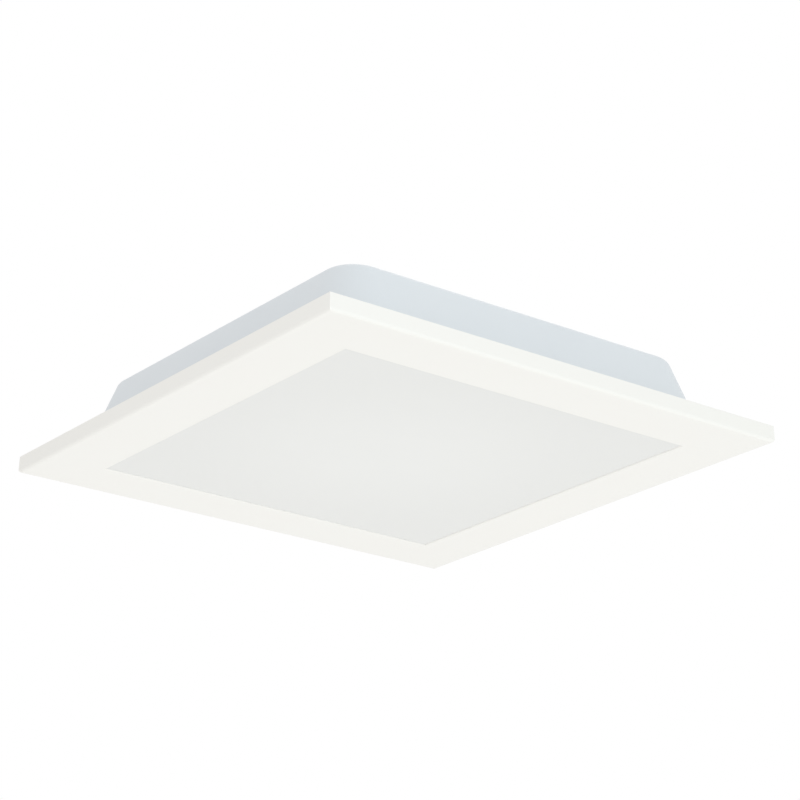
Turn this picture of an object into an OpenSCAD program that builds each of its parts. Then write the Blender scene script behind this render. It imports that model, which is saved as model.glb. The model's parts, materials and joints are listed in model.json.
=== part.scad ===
// Recessed square LED panel light, lying on its front face.
// The front face is the plane z = 0, +Z points to the rear, and the origin is the centre of the front.
// The left clip is on the -Y side, the right clip on the +Y side.

/* [Front frame] */
// Side of the square front frame
frame_w = 225; // [223:1:250]
// Height of the frame from front face to ceiling seat
frame_h = 7.3; // [7.1:0.1:8.6]
// Width of the flat ring around the lit square
ring_w = 27; // [26.6:0.1:27.6]
// Radius of the front outer edge
edge_r = 1.5; // [0.6:0.1:1.7]
// How much smaller the frame is at its rear, on each side
rim_draft = 0.25; // [0.05:0.05:0.4]
// Thickness of the front wall where the back is hollowed out
frame_wall = 2.2; // [1.6:0.1:2.6]
// Thickness of the lip in front of the diffuser's flange
lip_t = 1.6; // [1.4:0.1:1.9]
// Thickness of the ribs in the frame's back
rib_t = 1.4; // [1:0.1:2.5]
// Spacing of the ribs in the frame's back
rib_pitch = 23; // [14:1:34]

/* [Diffuser] */
// Thickness of the opal diffuser sheet
diffuser_t = 1.8; // [1.2:0.1:2.2]
// Thickness of the diffuser's flange
flange_t = 1.5; // [1.2:0.1:1.8]
// How far the diffuser lies behind the ring's front face
diffuser_set = 0.25; // [0.1:0.05:0.6]
// Thickness of the foam seal between lip and diffuser
seal_t = 0.8; // [0.6:0.1:1]

/* [Rear pan] */
// Height of the pan above the frame's rear face
pan_h = 30.3; // [29.8:0.1:34]
// Distance from the frame's outer edge to the pan, at the ceiling seat
pan_margin = 14; // [13.6:0.1:15]
// Draft of the pan's walls
pan_draft = 22; // [18:0.5:22.5]
// Wall of the pan
pan_wall = 1.8; // [1.4:0.1:2.2]
// Radius of the pan's upright corners at its top
pan_corner_r = 13.2; // [11:0.1:16]
// Radius of the edge between the pan's walls and its back
pan_edge_r = 4; // [2.6:0.1:6]

/* [Light source] */
// Rows of diodes each way
led_rows = 5; // [3:1:5]
// Distance from the middle of the outer diodes to the edge of the tray's plate
led_margin = 16; // [15.5:0.1:17]
// Radius of the lens over each diode
lens_r = 6.2; // [5:0.1:6.3]
// Width of a diode strip
strip_w = 14; // [12.8:0.1:15]

/* [Driver case] */
// Width of the driver case
case_w = 56; // [54:1:60]
// Length of the driver case
case_l = 108; // [106:1:112]
// Height of the driver case
case_h = 21; // [20.6:0.1:25]
// Wall of the driver case
case_wall = 1.8; // [1.4:0.1:2]
// Outer diameter of the mains cable that the entry takes
cable_d = 7.2; // [5:0.1:8]

/* [Spring clips] */
// Distance of the clips' pins from the middle of the light
clip_y = 66; // [62:0.5:68]
// Height of the clips' pins above the pan
clip_pin_h = 6.5; // [6:0.1:7.5]
// Radius of the clips' pins
clip_pin_r = 1.5; // [1:0.1:1.7]
// Length of the arm from pin to knee
arm_knee = 24; // [22:0.5:26]
// Length of the arm from knee to tip
arm_reach = 35; // [30:0.5:38]
// Bend of the arm at the knee
knee_bend = 45; // [40:1:48]
// Width of the arm at the pin
arm_w = 22; // [22:0.5:26]
// Wire of the torsion spring
wire_d = 1.2; // [0.8:0.1:1.2]
// Turns of the torsion spring
spring_turns = 8; // [5:1:8]

/* [Hidden] */
$fn = 64;

// Colours as the photo shows them, or as such parts have them inside
ring_white = "#f5f4ef";
opal_white = "#ecece8";
pan_white = "#dfe6ea";
tray_white = "#f8f8f6";
case_grey = "#e4e5e3";
zinc = "#b9bcc0";
steel = "#a4a7ab";
aluminium = "#c3c6c9";
rubber_grey = "#8f9193";
board_green = "#2f6b4a";
dark = "#2b2c2e";
red = "#b5322c";
brown = "#6b4a2e";
blue = "#3b5f8f";
phosphor_yellow = "#f3e38a";
tape_grey = "#d9d4cf";
winding_yellow = "#d8b24a";
sleeve_blue = "#3a3d52";
film_yellow = "#c9b35a";
ceramic = "#d7d2c6";
terminal_grey = "#dcdfe0";
lever_grey = "#c9cdd0";

// Clearances
fit = 0.1;         // between parts that are put together and stay still
running = 0.05;    // between a shaft and what turns on it
gap = 0.3;         // between parts that must not touch
press = 0.02;      // between a pressed-in pin and its hole
rest = 0.05;       // between a spring's leg and what it rests on
bite = 0.05;       // between a screw's shank and the hole that it is driven into
slack = 0.2;       // of a moulding in the recess that holds it
root = 1;          // how far a post or a rib reaches into the wall that it stands on
over = 1;          // how far a cutting solid runs past what it cuts
flush = 0.01;      // the same for a cut with sloping sides, which must keep its size

// Frame, from the lit square outwards
frame_half = frame_w / 2;
open_half = frame_half - ring_w;
well_out = 4.9;                         // well of the diffuser's flange, out from the lit square
well_half = open_half + well_out;
well_r = 8.3;
ledge_out = 4.2;                        // ledge that the tray is screwed to, out from the well
ledge_d = 2.1;
ledge_half = well_half + ledge_out;
ledge_z = frame_h - ledge_d;
pan_half = frame_half - pan_margin;     // half of the pan's foot
pan_centre = pan_half - pan_h * tan(pan_draft) - pan_corner_r;  // corner axis of the pan
pan_wall_x = pan_wall / cos(pan_draft); // the same wall measured level
groove_slack = 0.16;                    // inside the pan's wall, where the seal's edge is
groove_d = 3;
groove_in = pan_half - pan_wall_x - groove_slack;
groove_out = pan_half + slack;
groove_z = frame_h - groove_d;
seal_bead = 0.3;
collar_t = 2.2;                         // outer wall of the groove
collar_half = groove_out + collar_t;
rim_wall = 2.3;                         // outer wall of the frame, at its foot
pocket_half = frame_half - rim_wall;
rib_reach = 8;                          // the outer ribs stand at most this far past the pan's straight wall
rib_count = floor((pan_centre + rib_reach) / rib_pitch);

// Levels
seal_z = lip_t;
seal_in = 0.6;                          // of the seal's inside from the lit square
flange_z = lip_t + seal_t;
lipseat_z = flange_z + flange_t;        // where the tray presses on the diffuser
back_z = frame_h + pan_h;               // outer face of the pan's back
inner_z = back_z - pan_wall;            // inner face of the pan's back

// Tray and light source, from the pan's back forwards
tray_t = 1.5;
rear_room = 8.3;                        // behind the tray's plate, for strips, spreader and screws
plate_z = inner_z - rear_room;          // rear face of the tray's plate
plate_front = plate_z - tray_t;
strip_z = plate_z + fit;
strip_t = 1;
tape_t = 0.2;
tape_z = strip_z + strip_t;
spreader_z = tape_z + tape_t;
spreader_t = 1.5;
tray_out = 0.8;                         // of the tray's inside from the lit square
tray_lean = 10.3;                       // how far its walls lean in up to its plate
tray_half = open_half + tray_out;       // inside of the tray at the diffuser
tray_top_half = tray_half - tray_lean;  // inside of the tray at its plate
tray_slope = (tray_half - tray_top_half) / (plate_front - lipseat_z);
tray_wall_x = 1.65;
tray_screw_x = (well_half + ledge_half) / 2;
tray_screw_y = 45;
tray_flange_t = tray_t;
post_in = 5;
post_xy = tray_top_half - post_in;      // posts that the pan is screwed to
post_r = 3.5;
spreader_gap = 1.5;                     // between the spreader and those posts
spreader_half = post_xy - post_r - spreader_gap;
led_pitch = 2 * (tray_top_half - led_margin) / (led_rows - 1);
pad_xy = led_pitch * (led_rows - 2) / 2;  // pads that carry the heat spreader, between the diodes
strip_in = 1;                           // of a strip's end from the spreader's edge
strip_l = 2 * (spreader_half - strip_in);
tape_in = 1;                            // of a tape's edge from its strip's edge
chip = 3;
chip_t = 0.7;
lens_h = 5;
lens_foot_t = 1.2;                      // flat foot round the lens
lens_foot_w = 0.9;
lens_dome_r = lens_r + 1;
lens_gap = 0.8;                         // round each lens, in the tray's plate
lens_room_r = 2.6;                      // hollow over the diode
lens_room_h = 2.2;
lens_dimple = [1.2, 1.8, 0.2];          // depth, outer and inner radius
pad_r = 2.6;                            // stubs in front of the pads
pad_stub = 3;
spreader_r = 4;
link_r = 0.5;
link_in = 3;                            // of a link from the strips' end
connector_w = 8;
connector_l = 6;
plug_d = 3;                             // how deep a wire sits in its connector
strips = [for (i = [0 : led_rows - 1]) (i - (led_rows - 1) / 2) * led_pitch];

// Screws: shank radius, head radius, head height
small_screw = [1.1, 1.9, 1.3];
medium_screw = [1.45, 2.7, 1.8];
// How far each kind of screw reaches into what it is driven into, or its whole length
tray_grip = 3;
spreader_grip = 3.6;
driver_grip = 5.2;
clip_grip = 5;
clamp_grip = 5;
cover_screw_l = 7;
pan_screw_l = 8;
screw_room = 1;                         // hole past the screw's tip
// Cross recess: length, width and depth as shares of the head's radius, radius and height
cross = [1.2, 0.28, 0.55];
loose = 0.25;                           // between a shank and the hole that it passes through

// Driver case on the pan's back, with its output lead over the first strip
lead_in = 13;                           // of the lead from the case's middle line
lead_x = strips[0] + 1;
case_x = lead_x + lead_in;
case_y = 4;
case_r = 3;
case_x0 = case_x - case_w / 2;
case_x1 = case_x + case_w / 2;
case_y0 = case_y - case_l / 2;
case_y1 = case_y + case_l / 2;
case_top = back_z + case_h;
floor_z = back_z + case_wall;
cover_t = 1.8;
wall_top = case_top - cover_t;
room_l = 34.4;                          // length of the connection compartment
part_y1 = case_y1 - case_wall - room_l; // partition, compartment side
part_y0 = part_y1 - case_wall;
boss_r = 3;
boss_l = 5;                             // bosses behind the pan's back
boss_in = case_wall + boss_r + slack;   // of a cover screw's axis from the case's outside
boss_merge = 0.8;                       // how far the inner bosses run into the partition
lug_out = 5;
lug_r = 4.6;
lug_t = 2.5;
lug_in = 10;
lug_x = case_w / 2 - lug_in;
cover_r = 2;                            // corner radius of both covers
cover_gap = 0.1;                        // of each cover from the line between them

// Board and what stands on it
board_w = 50;
board_t = 1.6;
board_up = 3;
board_in = [8.5, 6.5];                  // from the case's end and from the partition
board_z = floor_z + board_up;
board_y0 = case_y0 + board_in[0];
board_y1 = part_y0 - board_in[1];
board_top = board_z + board_t;
board_post_in = 4;
board_post_r = 2.4;
board_peg_r = 1.1;
board_peg_h = 0.6;                      // of the pegs above the board
// Places on the board, from its middle line and from its near or far end
transformer_at = [-5, 22];
core = [18, 16, 10];
core_legs = [2.6, 2.4];                 // outer legs and yokes of the core
bobbin_t = 2;
coil_out = 1.5;                         // of the winding's inside from the core's end
bobbin_in = 0.5;
choke_at = [14, 12];
choke_r = 5;
choke_core_r = 3;
choke_wound_r = 4.4;
choke_base = [12, 10, 1.6];
choke_h = 11;
choke_disc_t = 1.4;
cans = [[14, 20, 5, 12], [-20, 21, 4, 11], [3, 6, 4, 11]];  // place, radius, height
can_edge = 0.6;
film_at = [-2, 8];
film_size = [13, 6, 10];
rectifier_at = [-17, 13];
rectifier_size = [8, 6, 2.6];
transistor_at = [18, 8];
transistor_size = [10, 2.6, 9];
pin_l = 3;
pin_w = 0.8;
pin_t = 0.5;
pin_pitch = 2.5;
fuse_at = [-14, 6];
fuse_r = 2.4;
fuse_l = 9;
socket_size = [8, 6, 7];
socket_edge = 0.5;                      // of the socket from the board's edge

// Output lead
lead_from_end = 7;
lead_y = case_y0 + lead_from_end;
wire_r = 0.8;
wire_gap = 1.1;                         // of each wire's axis from the lead's middle
grommet_r = 4;
grommet_flange_r = 5;
grommet_lip = 0.8;
socket_h = 5;
socket_in = 4;                          // how far the lead's wires reach in over the board
socket_hole = 3.4;
socket_z = board_top + socket_hole;     // level of the wires where they enter the driver's socket

// Cable entry, clamp and terminals
entry_up = 8.6;
entry_z = floor_z + entry_up;
entry_wall = 2.1;                       // of the grommet's tube and its slack in the hole
entry_lip = 1.2;
entry_hole_r = cable_d / 2 + entry_wall;
cable_bore_r = cable_d / 2 + fit;
clamp_in = 9;
clamp_y = case_y1 - case_wall - clamp_in;
clamp_w = 8;
clamp_l = 26;
clamp_r = 2;
clamp_post_x = 9.5;
clamp_post_r = 3.2;
clamp_up = 2;
clamp_seat = entry_z + clamp_up;
clamp_t = 3.5;
saddle_t = 3;                           // wall under the cable, below the clamp
saddle_drop = 1;
block_w = 18;
block_l = 14;
block_h = 11;
block_out = 3.2;
block_wall = 0.8;
block_y0 = part_y1 + block_out;
block_y1 = block_y0 + block_l;
pole_x = 4.2;                           // of each pole from the block's middle
lever_w = 5.2;
lever_r = 2.2;
lever_in = 3.5;
lever_down = 3.2;
lever_y = block_y1 - lever_in;
lever_z = floor_z + block_h - lever_down;
lever_arm = 8;
lever_low = 1;                          // underside of the lever's arm, over its pivot
lever_t = 2;
lever_tab = [1.4, 0.4];                 // length and height of the raised tab at its tip
slot_z = lever_z - lever_r - gap;
trunnion_r = 1;
trunnion_l = 0.9;
wire_hole_r = 1.4;
wire_hole_l = 9;
wire_hole_roof = 1.1;
wire_hole_z = slot_z - wire_hole_roof - wire_hole_r;
rear_hole_l = 3;
// The wires from the terminals: their ends in the block, their bends, and their drop through the board
wire_in = 2.5;
wire_rise_out = 2.5;
wire_bend_h = 2.5;
wire_drop_in = 3;

// Cover of the connection compartment
hinge_out = 2.4;
hinge_x = case_x0 - hinge_out;
hinge_z = wall_top + slack;
barrel_r = 2.2;
hinge_pin_r = 1;
knuckle_l = 5;
knuckle_in = [5, 10];                   // from the partition and from the case's end
knuckle_root = 0.5;
knuckle_0 = part_y1 + knuckle_in[0];
knuckle_1 = case_y1 - knuckle_in[1];
hinge_gap = 0.25;
hinge_leaf = 3;
hinge_pin_out = 0.8;
tongue_w = 12;
tongue_t = 1.2;
tongue_l = 7;

// Spring clips
bracket_t = 1;
bracket_gap = 1;                        // between the arm's cheeks and the bracket's ears
bracket_half = arm_w / 2 + bracket_gap + bracket_t;
bracket_l = 15;
bracket_r = 1.5;
ear_foot = [6, 1.5];                    // half length and height of an ear's foot
ear_neck = [3, 0.5];                    // half length of its neck, and the neck's height over the pin
clip_pin_z = back_z + clip_pin_h;
ear_r = 3.2;
strap_t = 1;
stow = asin((clip_pin_h - gap - strap_t / 2) / arm_knee);  // slope of the folded arm
sleeve_t = 4;
sleeve_l = 14;
sleeve_w = 16;
sleeve_out = 1.5;                       // past the arm's tip
tip_w = 13;
arm_taper = 1;                          // how much the arm is narrower at its knee, on each side
cheek = [8, 4];                         // length and height of the arm's cheeks
arm_slot = [4, 11];                     // width and length, without its round ends
arm_slot_in = 5;                        // of the slot from the knee
coil_gap = 0.7;                         // between coil and pin
turn_gap = 0.5;
coil_room = 1;                          // between coil and strap
coil_r = clip_pin_r + wire_d / 2 + coil_gap;
coil_pitch = wire_d + turn_gap;
knee_w = arm_w - 2 * arm_taper;
strap_start = coil_r + wire_d / 2 + coil_room;
pin_head = [0.9, 0.9];                  // length of both heads, and how far one stands out
pin_swage = 0.5;                        // how far the other one does
clip_screw_x = bracket_half - bracket_t - small_screw[1] - slack;
clip_screw_out = 4.5;
wire_sides = 6;
rings_per_turn = 8;

// Flat and round shapes that several parts share

module rounded_square(half, r) {
    square([2 * half, 2 * (half - r)], center = true);
    square([2 * (half - r), 2 * half], center = true);
    for (x = [-1, 1], y = [-1, 1]) translate([x * (half - r), y * (half - r)]) circle(r);
}

module rounded_slab(half, r, z0, z1)
    translate([0, 0, z0]) linear_extrude(z1 - z0) rounded_square(half, r);

module square_slab(half, z0, z1)
    translate([-half, -half, z0]) cube([2 * half, 2 * half, z1 - z0]);

module rounded_box(x0, x1, y0, y1, z0, z1, r)
    translate([0, 0, z0]) linear_extrude(z1 - z0) {
        translate([x0 + r, y0]) square([x1 - x0 - 2 * r, y1 - y0]);
        translate([x0, y0 + r]) square([x1 - x0, y1 - y0 - 2 * r]);
        for (x = [x0 + r, x1 - r], y = [y0 + r, y1 - r]) translate([x, y]) circle(r);
    }

module box(x0, x1, y0, y1, z0, z1) translate([x0, y0, z0]) cube([x1 - x0, y1 - y0, z1 - z0]);

module rod(r, z0, z1) translate([0, 0, z0]) cylinder(h = z1 - z0, r = r);

module rod_x(r, x0, x1) translate([x0, 0, 0]) rotate([0, 90, 0]) cylinder(h = x1 - x0, r = r);

module rod_y(r, y0, y1) translate([0, y0, 0]) rotate([-90, 0, 0]) cylinder(h = y1 - y0, r = r);

// Prism along X whose section is drawn in Y and Z
module along_x(x0, x1) translate([x0, 0, 0]) rotate([90, 0, 90]) linear_extrude(x1 - x0) children();

// Copies at the four corners of a square, or at the middle of its four sides
module corners(d) for (x = [-1, 1], y = [-1, 1]) translate([x * d, y * d, 0]) children();

module sides() for (a = [0 : 90 : 270]) rotate(a) children();

// A screw whose head's seat is at z = 0 and whose shank points to -Z
module screw(size, length) {
    rod(size[0], -length, 0);
    difference() {
        rod(size[1], 0, size[2]);
        translate([0, 0, size[2] * (1 - cross[2])]) for (a = [0, 90]) rotate(a)
            translate([-size[1] * cross[0] / 2, -size[1] * cross[1] / 2, 0])
                cube([size[1] * cross[0], size[1] * cross[1], size[2]]);
    }
}

// Four-sided block with sharp corners and sloping walls
module pyramid_block(h0, z0, h1, z1)
    intersection() {
        rotate([90, 0, 0]) linear_extrude(4 * h0, center = true)
            polygon([[-h0, z0], [h0, z0], [h1, z1], [-h1, z1]]);
        rotate(90) rotate([90, 0, 0]) linear_extrude(4 * h0, center = true)
            polygon([[-h0, z0], [h0, z0], [h1, z1], [-h1, z1]]);
    }

// Frame

// Section of the frame's outside, with the draft of its side and its rounded front edge
module rim_section() {
    a = atan(rim_draft / frame_h);
    cx = frame_half - edge_r * (1 + sin(a)) / cos(a);
    tx = cx + edge_r * cos(a);
    tz = edge_r + edge_r * sin(a);
    back = frame_half - rim_draft;
    polygon([[-cx, 0], [cx, 0], [tx, tz], [back, frame_h], [-back, frame_h], [-tx, tz]]);
    for (s = [-1, 1]) translate([s * cx, edge_r]) circle(edge_r);
}

module rim_bar() rotate([90, 0, 0]) linear_extrude(frame_w + 2 * over, center = true) rim_section();

module frame_pockets()
    translate([0, 0, frame_wall]) linear_extrude(frame_h) difference() {
        square(2 * pocket_half, center = true);
        rounded_square(collar_half, collar_half - pan_centre);
        sides() {
            for (i = [-rib_count : rib_count]) translate([0, i * rib_pitch - rib_t / 2])
                square([frame_half, rib_t]);
            rotate(45) translate([0, -rib_t / 2]) square([2 * frame_half, rib_t]);
        }
    }

module tray_screw_places()
    sides() for (y = [-tray_screw_y, tray_screw_y]) translate([tray_screw_x, y, 0]) children();

module front_frame() color(ring_white) difference() {
    intersection() {
        rim_bar();
        rotate(90) rim_bar();
    }
    square_slab(open_half, -over, frame_h + over);
    rounded_slab(well_half, well_r, lip_t, frame_h + over);
    rounded_slab(ledge_half, ledge_half - pan_centre, ledge_z, frame_h + over);
    difference() {
        rounded_slab(groove_out, groove_out - pan_centre, groove_z, frame_h + over);
        rounded_slab(groove_in, groove_in - pan_centre, groove_z - over, frame_h + 2 * over);
    }
    frame_pockets();
    tray_screw_places() rod(small_screw[0] + bite, ledge_z - tray_grip - screw_room, frame_h);
}

// Diffuser: a flat square that stands through the lip, a step and a flange behind the lip
module diffuser() color(opal_white) {
    half = open_half - slack;
    flange = well_half - gap;
    step = half - diffuser_t;
    difference() {
        union() {
            square_slab(half, diffuser_set, lipseat_z);
            rounded_slab(flange, well_r - gap, flange_z, lipseat_z);
        }
        square_slab(step, diffuser_set + diffuser_t, lipseat_z + over);
    }
}

module diffuser_seal() color(rubber_grey) difference() {
    rounded_slab(well_half - gap - slack, well_r - gap - slack, seal_z, flange_z);
    square_slab(open_half + seal_in, seal_z - over, flange_z + over);
}

// Reflector tray: sloping white walls, a plate with a hole for each lens, pads and posts behind it
function tray_in(z) = tray_half - (z - lipseat_z) * tray_slope;

module reflector_tray() color(tray_white) difference() {
    union() {
        rounded_slab(well_half - gap - slack, well_r - gap - slack, lipseat_z, ledge_z + root / 2);
        rounded_slab(ledge_half - gap, ledge_half - gap - pan_centre, ledge_z, ledge_z + tray_flange_t);
        pyramid_block(tray_in(ledge_z) + tray_wall_x, ledge_z, tray_in(plate_z) + tray_wall_x, plate_z);
        corners(post_xy) rod(post_r, plate_z - tray_t, inner_z);
        corners(pad_xy) rod(post_r, plate_z - tray_t, spreader_z);
        corners(pad_xy) rod(pad_r, plate_front - pad_stub, plate_z);
    }
    pyramid_block(tray_in(lipseat_z - over), lipseat_z - over, tray_in(plate_front), plate_front);
    for (x = strips, y = strips) translate([x, y, 0])
        rod(lens_r + lens_gap, plate_front - over, plate_z + over);
    tray_screw_places() rod(small_screw[0] + loose, ledge_z - over, ledge_z + tray_flange_t + over);
    corners(post_xy) rod(medium_screw[0] + bite, back_z - pan_screw_l - screw_room, inner_z + over);
    corners(pad_xy) rod(small_screw[0] + bite, spreader_z - spreader_grip - screw_room, spreader_z + over);
}

module tray_screws() color(zinc)
    tray_screw_places() translate([0, 0, ledge_z + tray_flange_t])
        screw(small_screw, tray_flange_t + tray_grip);

// Light source

module lens() {
    difference() {
        union() {
            rod(lens_r, strip_z - lens_foot_t, strip_z);
            intersection() {
                translate([0, 0, strip_z - lens_h + lens_dome_r]) sphere(lens_dome_r);
                rod(lens_r - lens_foot_w, strip_z - lens_h, strip_z);
            }
        }
        rod(lens_room_r, strip_z - lens_room_h, strip_z + over);
        translate([0, 0, strip_z - lens_h - flush])
            cylinder(h = lens_dimple[0], r1 = lens_dimple[1], r2 = lens_dimple[2]);
    }
}

module led_lenses() color(opal_white) for (x = strips, y = strips) translate([x, y, 0]) lens();

module led_chips() color(phosphor_yellow) for (x = strips, y = strips)
    box(x - chip / 2, x + chip / 2, y - chip / 2, y + chip / 2, strip_z - chip_t, strip_z);

module led_strips() color(tray_white) for (x = strips)
    box(x - strip_w / 2, x + strip_w / 2, -strip_l / 2, strip_l / 2, strip_z, tape_z);

// Wires that join each strip to the next, at both ends
module strip_links() color(dark)
    for (i = [0 : led_rows - 2], y = [-1, 1])
        translate([0, y * (strip_l / 2 - link_in), strip_z + strip_t / 2])
            rod_x(link_r, strips[i] + strip_w / 2, strips[i + 1] - strip_w / 2);

module connector_window(z0, z1)
    box(lead_x - connector_w / 2 - gap, lead_x + connector_w / 2 + gap,
        lead_y - connector_l / 2 - gap, lead_y + connector_l / 2 + gap, z0 - over, z1 + over);

module strip_connector() color(tray_white) difference() {
    box(lead_x - connector_w / 2, lead_x + connector_w / 2,
        lead_y - connector_l / 2, lead_y + connector_l / 2, tape_z, tape_z + socket_h);
    for (s = [-1, 1]) translate([lead_x + s * wire_gap, lead_y, 0])
        rod(wire_r + bite, tape_z + socket_h - plug_d, tape_z + socket_h + over);
}

module thermal_tapes() color(tape_grey) difference() {
    for (x = strips)
        box(x - strip_w / 2 + tape_in, x + strip_w / 2 - tape_in,
            -strip_l / 2 + tape_in, strip_l / 2 - tape_in, tape_z, spreader_z);
    connector_window(tape_z, spreader_z);
}

module heat_spreader() color(aluminium) difference() {
    rounded_slab(spreader_half, spreader_r, spreader_z, spreader_z + spreader_t);
    connector_window(spreader_z, spreader_z + spreader_t);
    corners(pad_xy) rod(small_screw[0] + loose, spreader_z - over, spreader_z + spreader_t + over);
}

module spreader_screws() color(zinc)
    corners(pad_xy) translate([0, 0, spreader_z + spreader_t]) screw(small_screw, spreader_t + spreader_grip);

// Rear pan

// Half-section of a sloping wall with a rounded top edge, measured out from the corner axis
module wall_section(foot, top_z, edge, low_z) {
    slope = tan(pan_draft);
    top = foot - (top_z - frame_h) * slope;
    cx = top - edge * (1 - sin(pan_draft)) / cos(pan_draft);
    tx = cx + edge * cos(pan_draft);
    tz = top_z - edge + edge * sin(pan_draft);
    polygon([[0, low_z], [foot, low_z], [foot, frame_h], [tx, tz], [cx, top_z], [0, top_z]]);
    translate([cx, top_z - edge]) circle(edge);
}

// The section carried round a square with rounded corners
module walled_block(foot, top_z, edge, low_z) {
    c = pan_centre;
    square_slab(c, low_z, top_z);
    sides() translate([c, c, 0]) {
        rotate_extrude(angle = 90) wall_section(foot, top_z, edge, low_z);
        rotate([90, 0, 0]) linear_extrude(2 * c) wall_section(foot, top_z, edge, low_z);
    }
}

module pan_bosses(r) {
    clip_screw_places() rod(r, inner_z - boss_l, inner_z + root / 2);
    driver_screw_places() rod(r, inner_z - boss_l, inner_z + root / 2);
}

module rear_pan() color(pan_white) difference() {
    union() {
        difference() {
            walled_block(pan_half - pan_centre, back_z, pan_edge_r, groove_z + seal_bead);
            walled_block(pan_half - pan_wall_x - pan_centre, inner_z, pan_edge_r - pan_wall, groove_z - over);
        }
        pan_bosses(boss_r);
    }
    corners(post_xy) rod(medium_screw[0] + loose, inner_z - over, back_z + over);
    clip_screw_places() rod(small_screw[0] + bite, inner_z - boss_l + screw_room, back_z + over);
    driver_screw_places() rod(medium_screw[0] + bite, inner_z - boss_l + screw_room, back_z + over);
    translate([lead_x, lead_y, 0]) rod(grommet_r + fit, inner_z - over, back_z + over);
}

module pan_seal() color(rubber_grey) difference() {
    rounded_slab(pan_half, pan_half - pan_centre, groove_z, groove_z + seal_bead);
    rounded_slab(pan_half - pan_wall_x, pan_half - pan_wall_x - pan_centre, groove_z - over, frame_h);
}

module pan_screws() color(zinc) corners(post_xy) translate([0, 0, back_z]) screw(medium_screw, pan_screw_l);

// Driver case

module driver_screw_places()
    for (x = [-lug_x, lug_x], y = [case_y0 - lug_out, case_y1 + lug_out]) translate([case_x + x, y, 0])
        children();

module cover_screw_places()
    for (x = [case_x0 + boss_in, case_x1 - boss_in], y = [case_y0 + boss_in, part_y0 - boss_r + boss_merge])
        translate([x, y, 0]) children();

module board_posts(r, z0, z1)
    for (x = [-1, 1], y = [board_y0 + board_post_in, board_y1 - board_post_in])
        translate([case_x + x * (board_w / 2 - board_post_in), y, 0]) rod(r, z0, z1);

module lugs(r, z1) for (x = [-lug_x, lug_x]) {
    translate([case_x + x, case_y0 - lug_out, 0]) rod(r, back_z, z1);
    translate([case_x + x, case_y1 + lug_out, 0]) rod(r, back_z, z1);
    box(case_x + x - r, case_x + x + r, case_y0 - lug_out, case_y0 + root, back_z, z1);
    box(case_x + x - r, case_x + x + r, case_y1 - root, case_y1 + lug_out, back_z, z1);
}

module case_knuckles() for (y = [knuckle_0, knuckle_1]) {
    translate([hinge_x, 0, hinge_z]) rod_y(barrel_r, y, y + knuckle_l);
    box(hinge_x, case_x0 + knuckle_root, y, y + knuckle_l, hinge_z - barrel_r, wall_top);
}

module driver_case() color(case_grey) difference() {
    union() {
        difference() {
            rounded_box(case_x0, case_x1, case_y0, case_y1, back_z, wall_top, case_r);
            rounded_box(case_x0 + case_wall, case_x1 - case_wall, case_y0 + case_wall, case_y1 - case_wall,
                        floor_z, wall_top + over, case_r - case_wall);
        }
        box(case_x0 + root, case_x1 - root, part_y0, part_y1, back_z + root, wall_top);
        cover_screw_places() rod(boss_r, back_z + root, wall_top);
        board_posts(board_post_r, back_z + root, board_z);
        board_posts(board_peg_r, board_z - root, board_top + board_peg_h);
        lugs(lug_r, back_z + lug_t);
        case_knuckles();
        for (s = [-1, 1]) translate([case_x + s * clamp_post_x, clamp_y, 0])
            rod(clamp_post_r, back_z + root, clamp_seat);
        box(case_x - clamp_post_x, case_x + clamp_post_x, clamp_y - saddle_t / 2, clamp_y + saddle_t / 2,
            back_z + root, entry_z - saddle_drop);
    }
    cover_screw_places()
        rod(small_screw[0] + bite, case_top - small_screw[2] - cover_screw_l - screw_room, wall_top + over);
    driver_screw_places() rod(medium_screw[0] + loose, back_z - over, back_z + lug_t + over);
    translate([lead_x, lead_y, 0]) rod(grommet_r + fit, back_z - over, floor_z + over);
    translate([case_x, 0, entry_z]) rod_y(entry_hole_r, case_y1 - case_wall - over, case_y1 + over);
    translate([case_x, 0, entry_z]) rod_y(cable_bore_r, clamp_y - saddle_t, clamp_y + saddle_t);
    for (s = [-1, 1]) translate([case_x + s * clamp_post_x, clamp_y, 0])
        rod(small_screw[0] + bite, clamp_seat - clamp_grip - screw_room, clamp_seat + over);
    for (s = [-1, 1]) translate([case_x + s * pole_x, 0, wire_hole_z])
        rod_y(wire_r + fit, part_y0 - over, part_y1 + over);
    translate([hinge_x, 0, hinge_z])
        rod_y(hinge_pin_r + press, knuckle_0 - over, knuckle_1 + knuckle_l + over);
}

module driver_cover() color(case_grey) difference() {
    rounded_box(case_x0, case_x1, case_y0, part_y0 + case_wall / 2 - cover_gap,
                wall_top, case_top, cover_r);
    cover_screw_places() rod(small_screw[0] + loose, wall_top - over, case_top + over);
    cover_screw_places() rod(small_screw[1] + gap, case_top - small_screw[2], case_top + over);
}

module cover_screws() color(zinc)
    cover_screw_places() translate([0, 0, case_top - small_screw[2]]) screw(small_screw, cover_screw_l);

module driver_screws() color(zinc)
    driver_screw_places() translate([0, 0, back_z + lug_t]) screw(medium_screw, lug_t + driver_grip);

// Driver board

module driver_board() color(board_green) difference() {
    box(case_x - board_w / 2, case_x + board_w / 2, board_y0, board_y1, board_z, board_top);
    board_posts(board_peg_r + fit, board_z - over, board_top + over);
}

// A block centred on its place
module block(size, z0) box(-size[0] / 2, size[0] / 2, -size[1] / 2, size[1] / 2, z0, z0 + size[2]);

module near_end(at) translate([case_x + at[0], board_y0 + at[1], board_top]) children();

module far_end(at) translate([case_x + at[0], board_y1 - at[1], board_top]) children();

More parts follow.
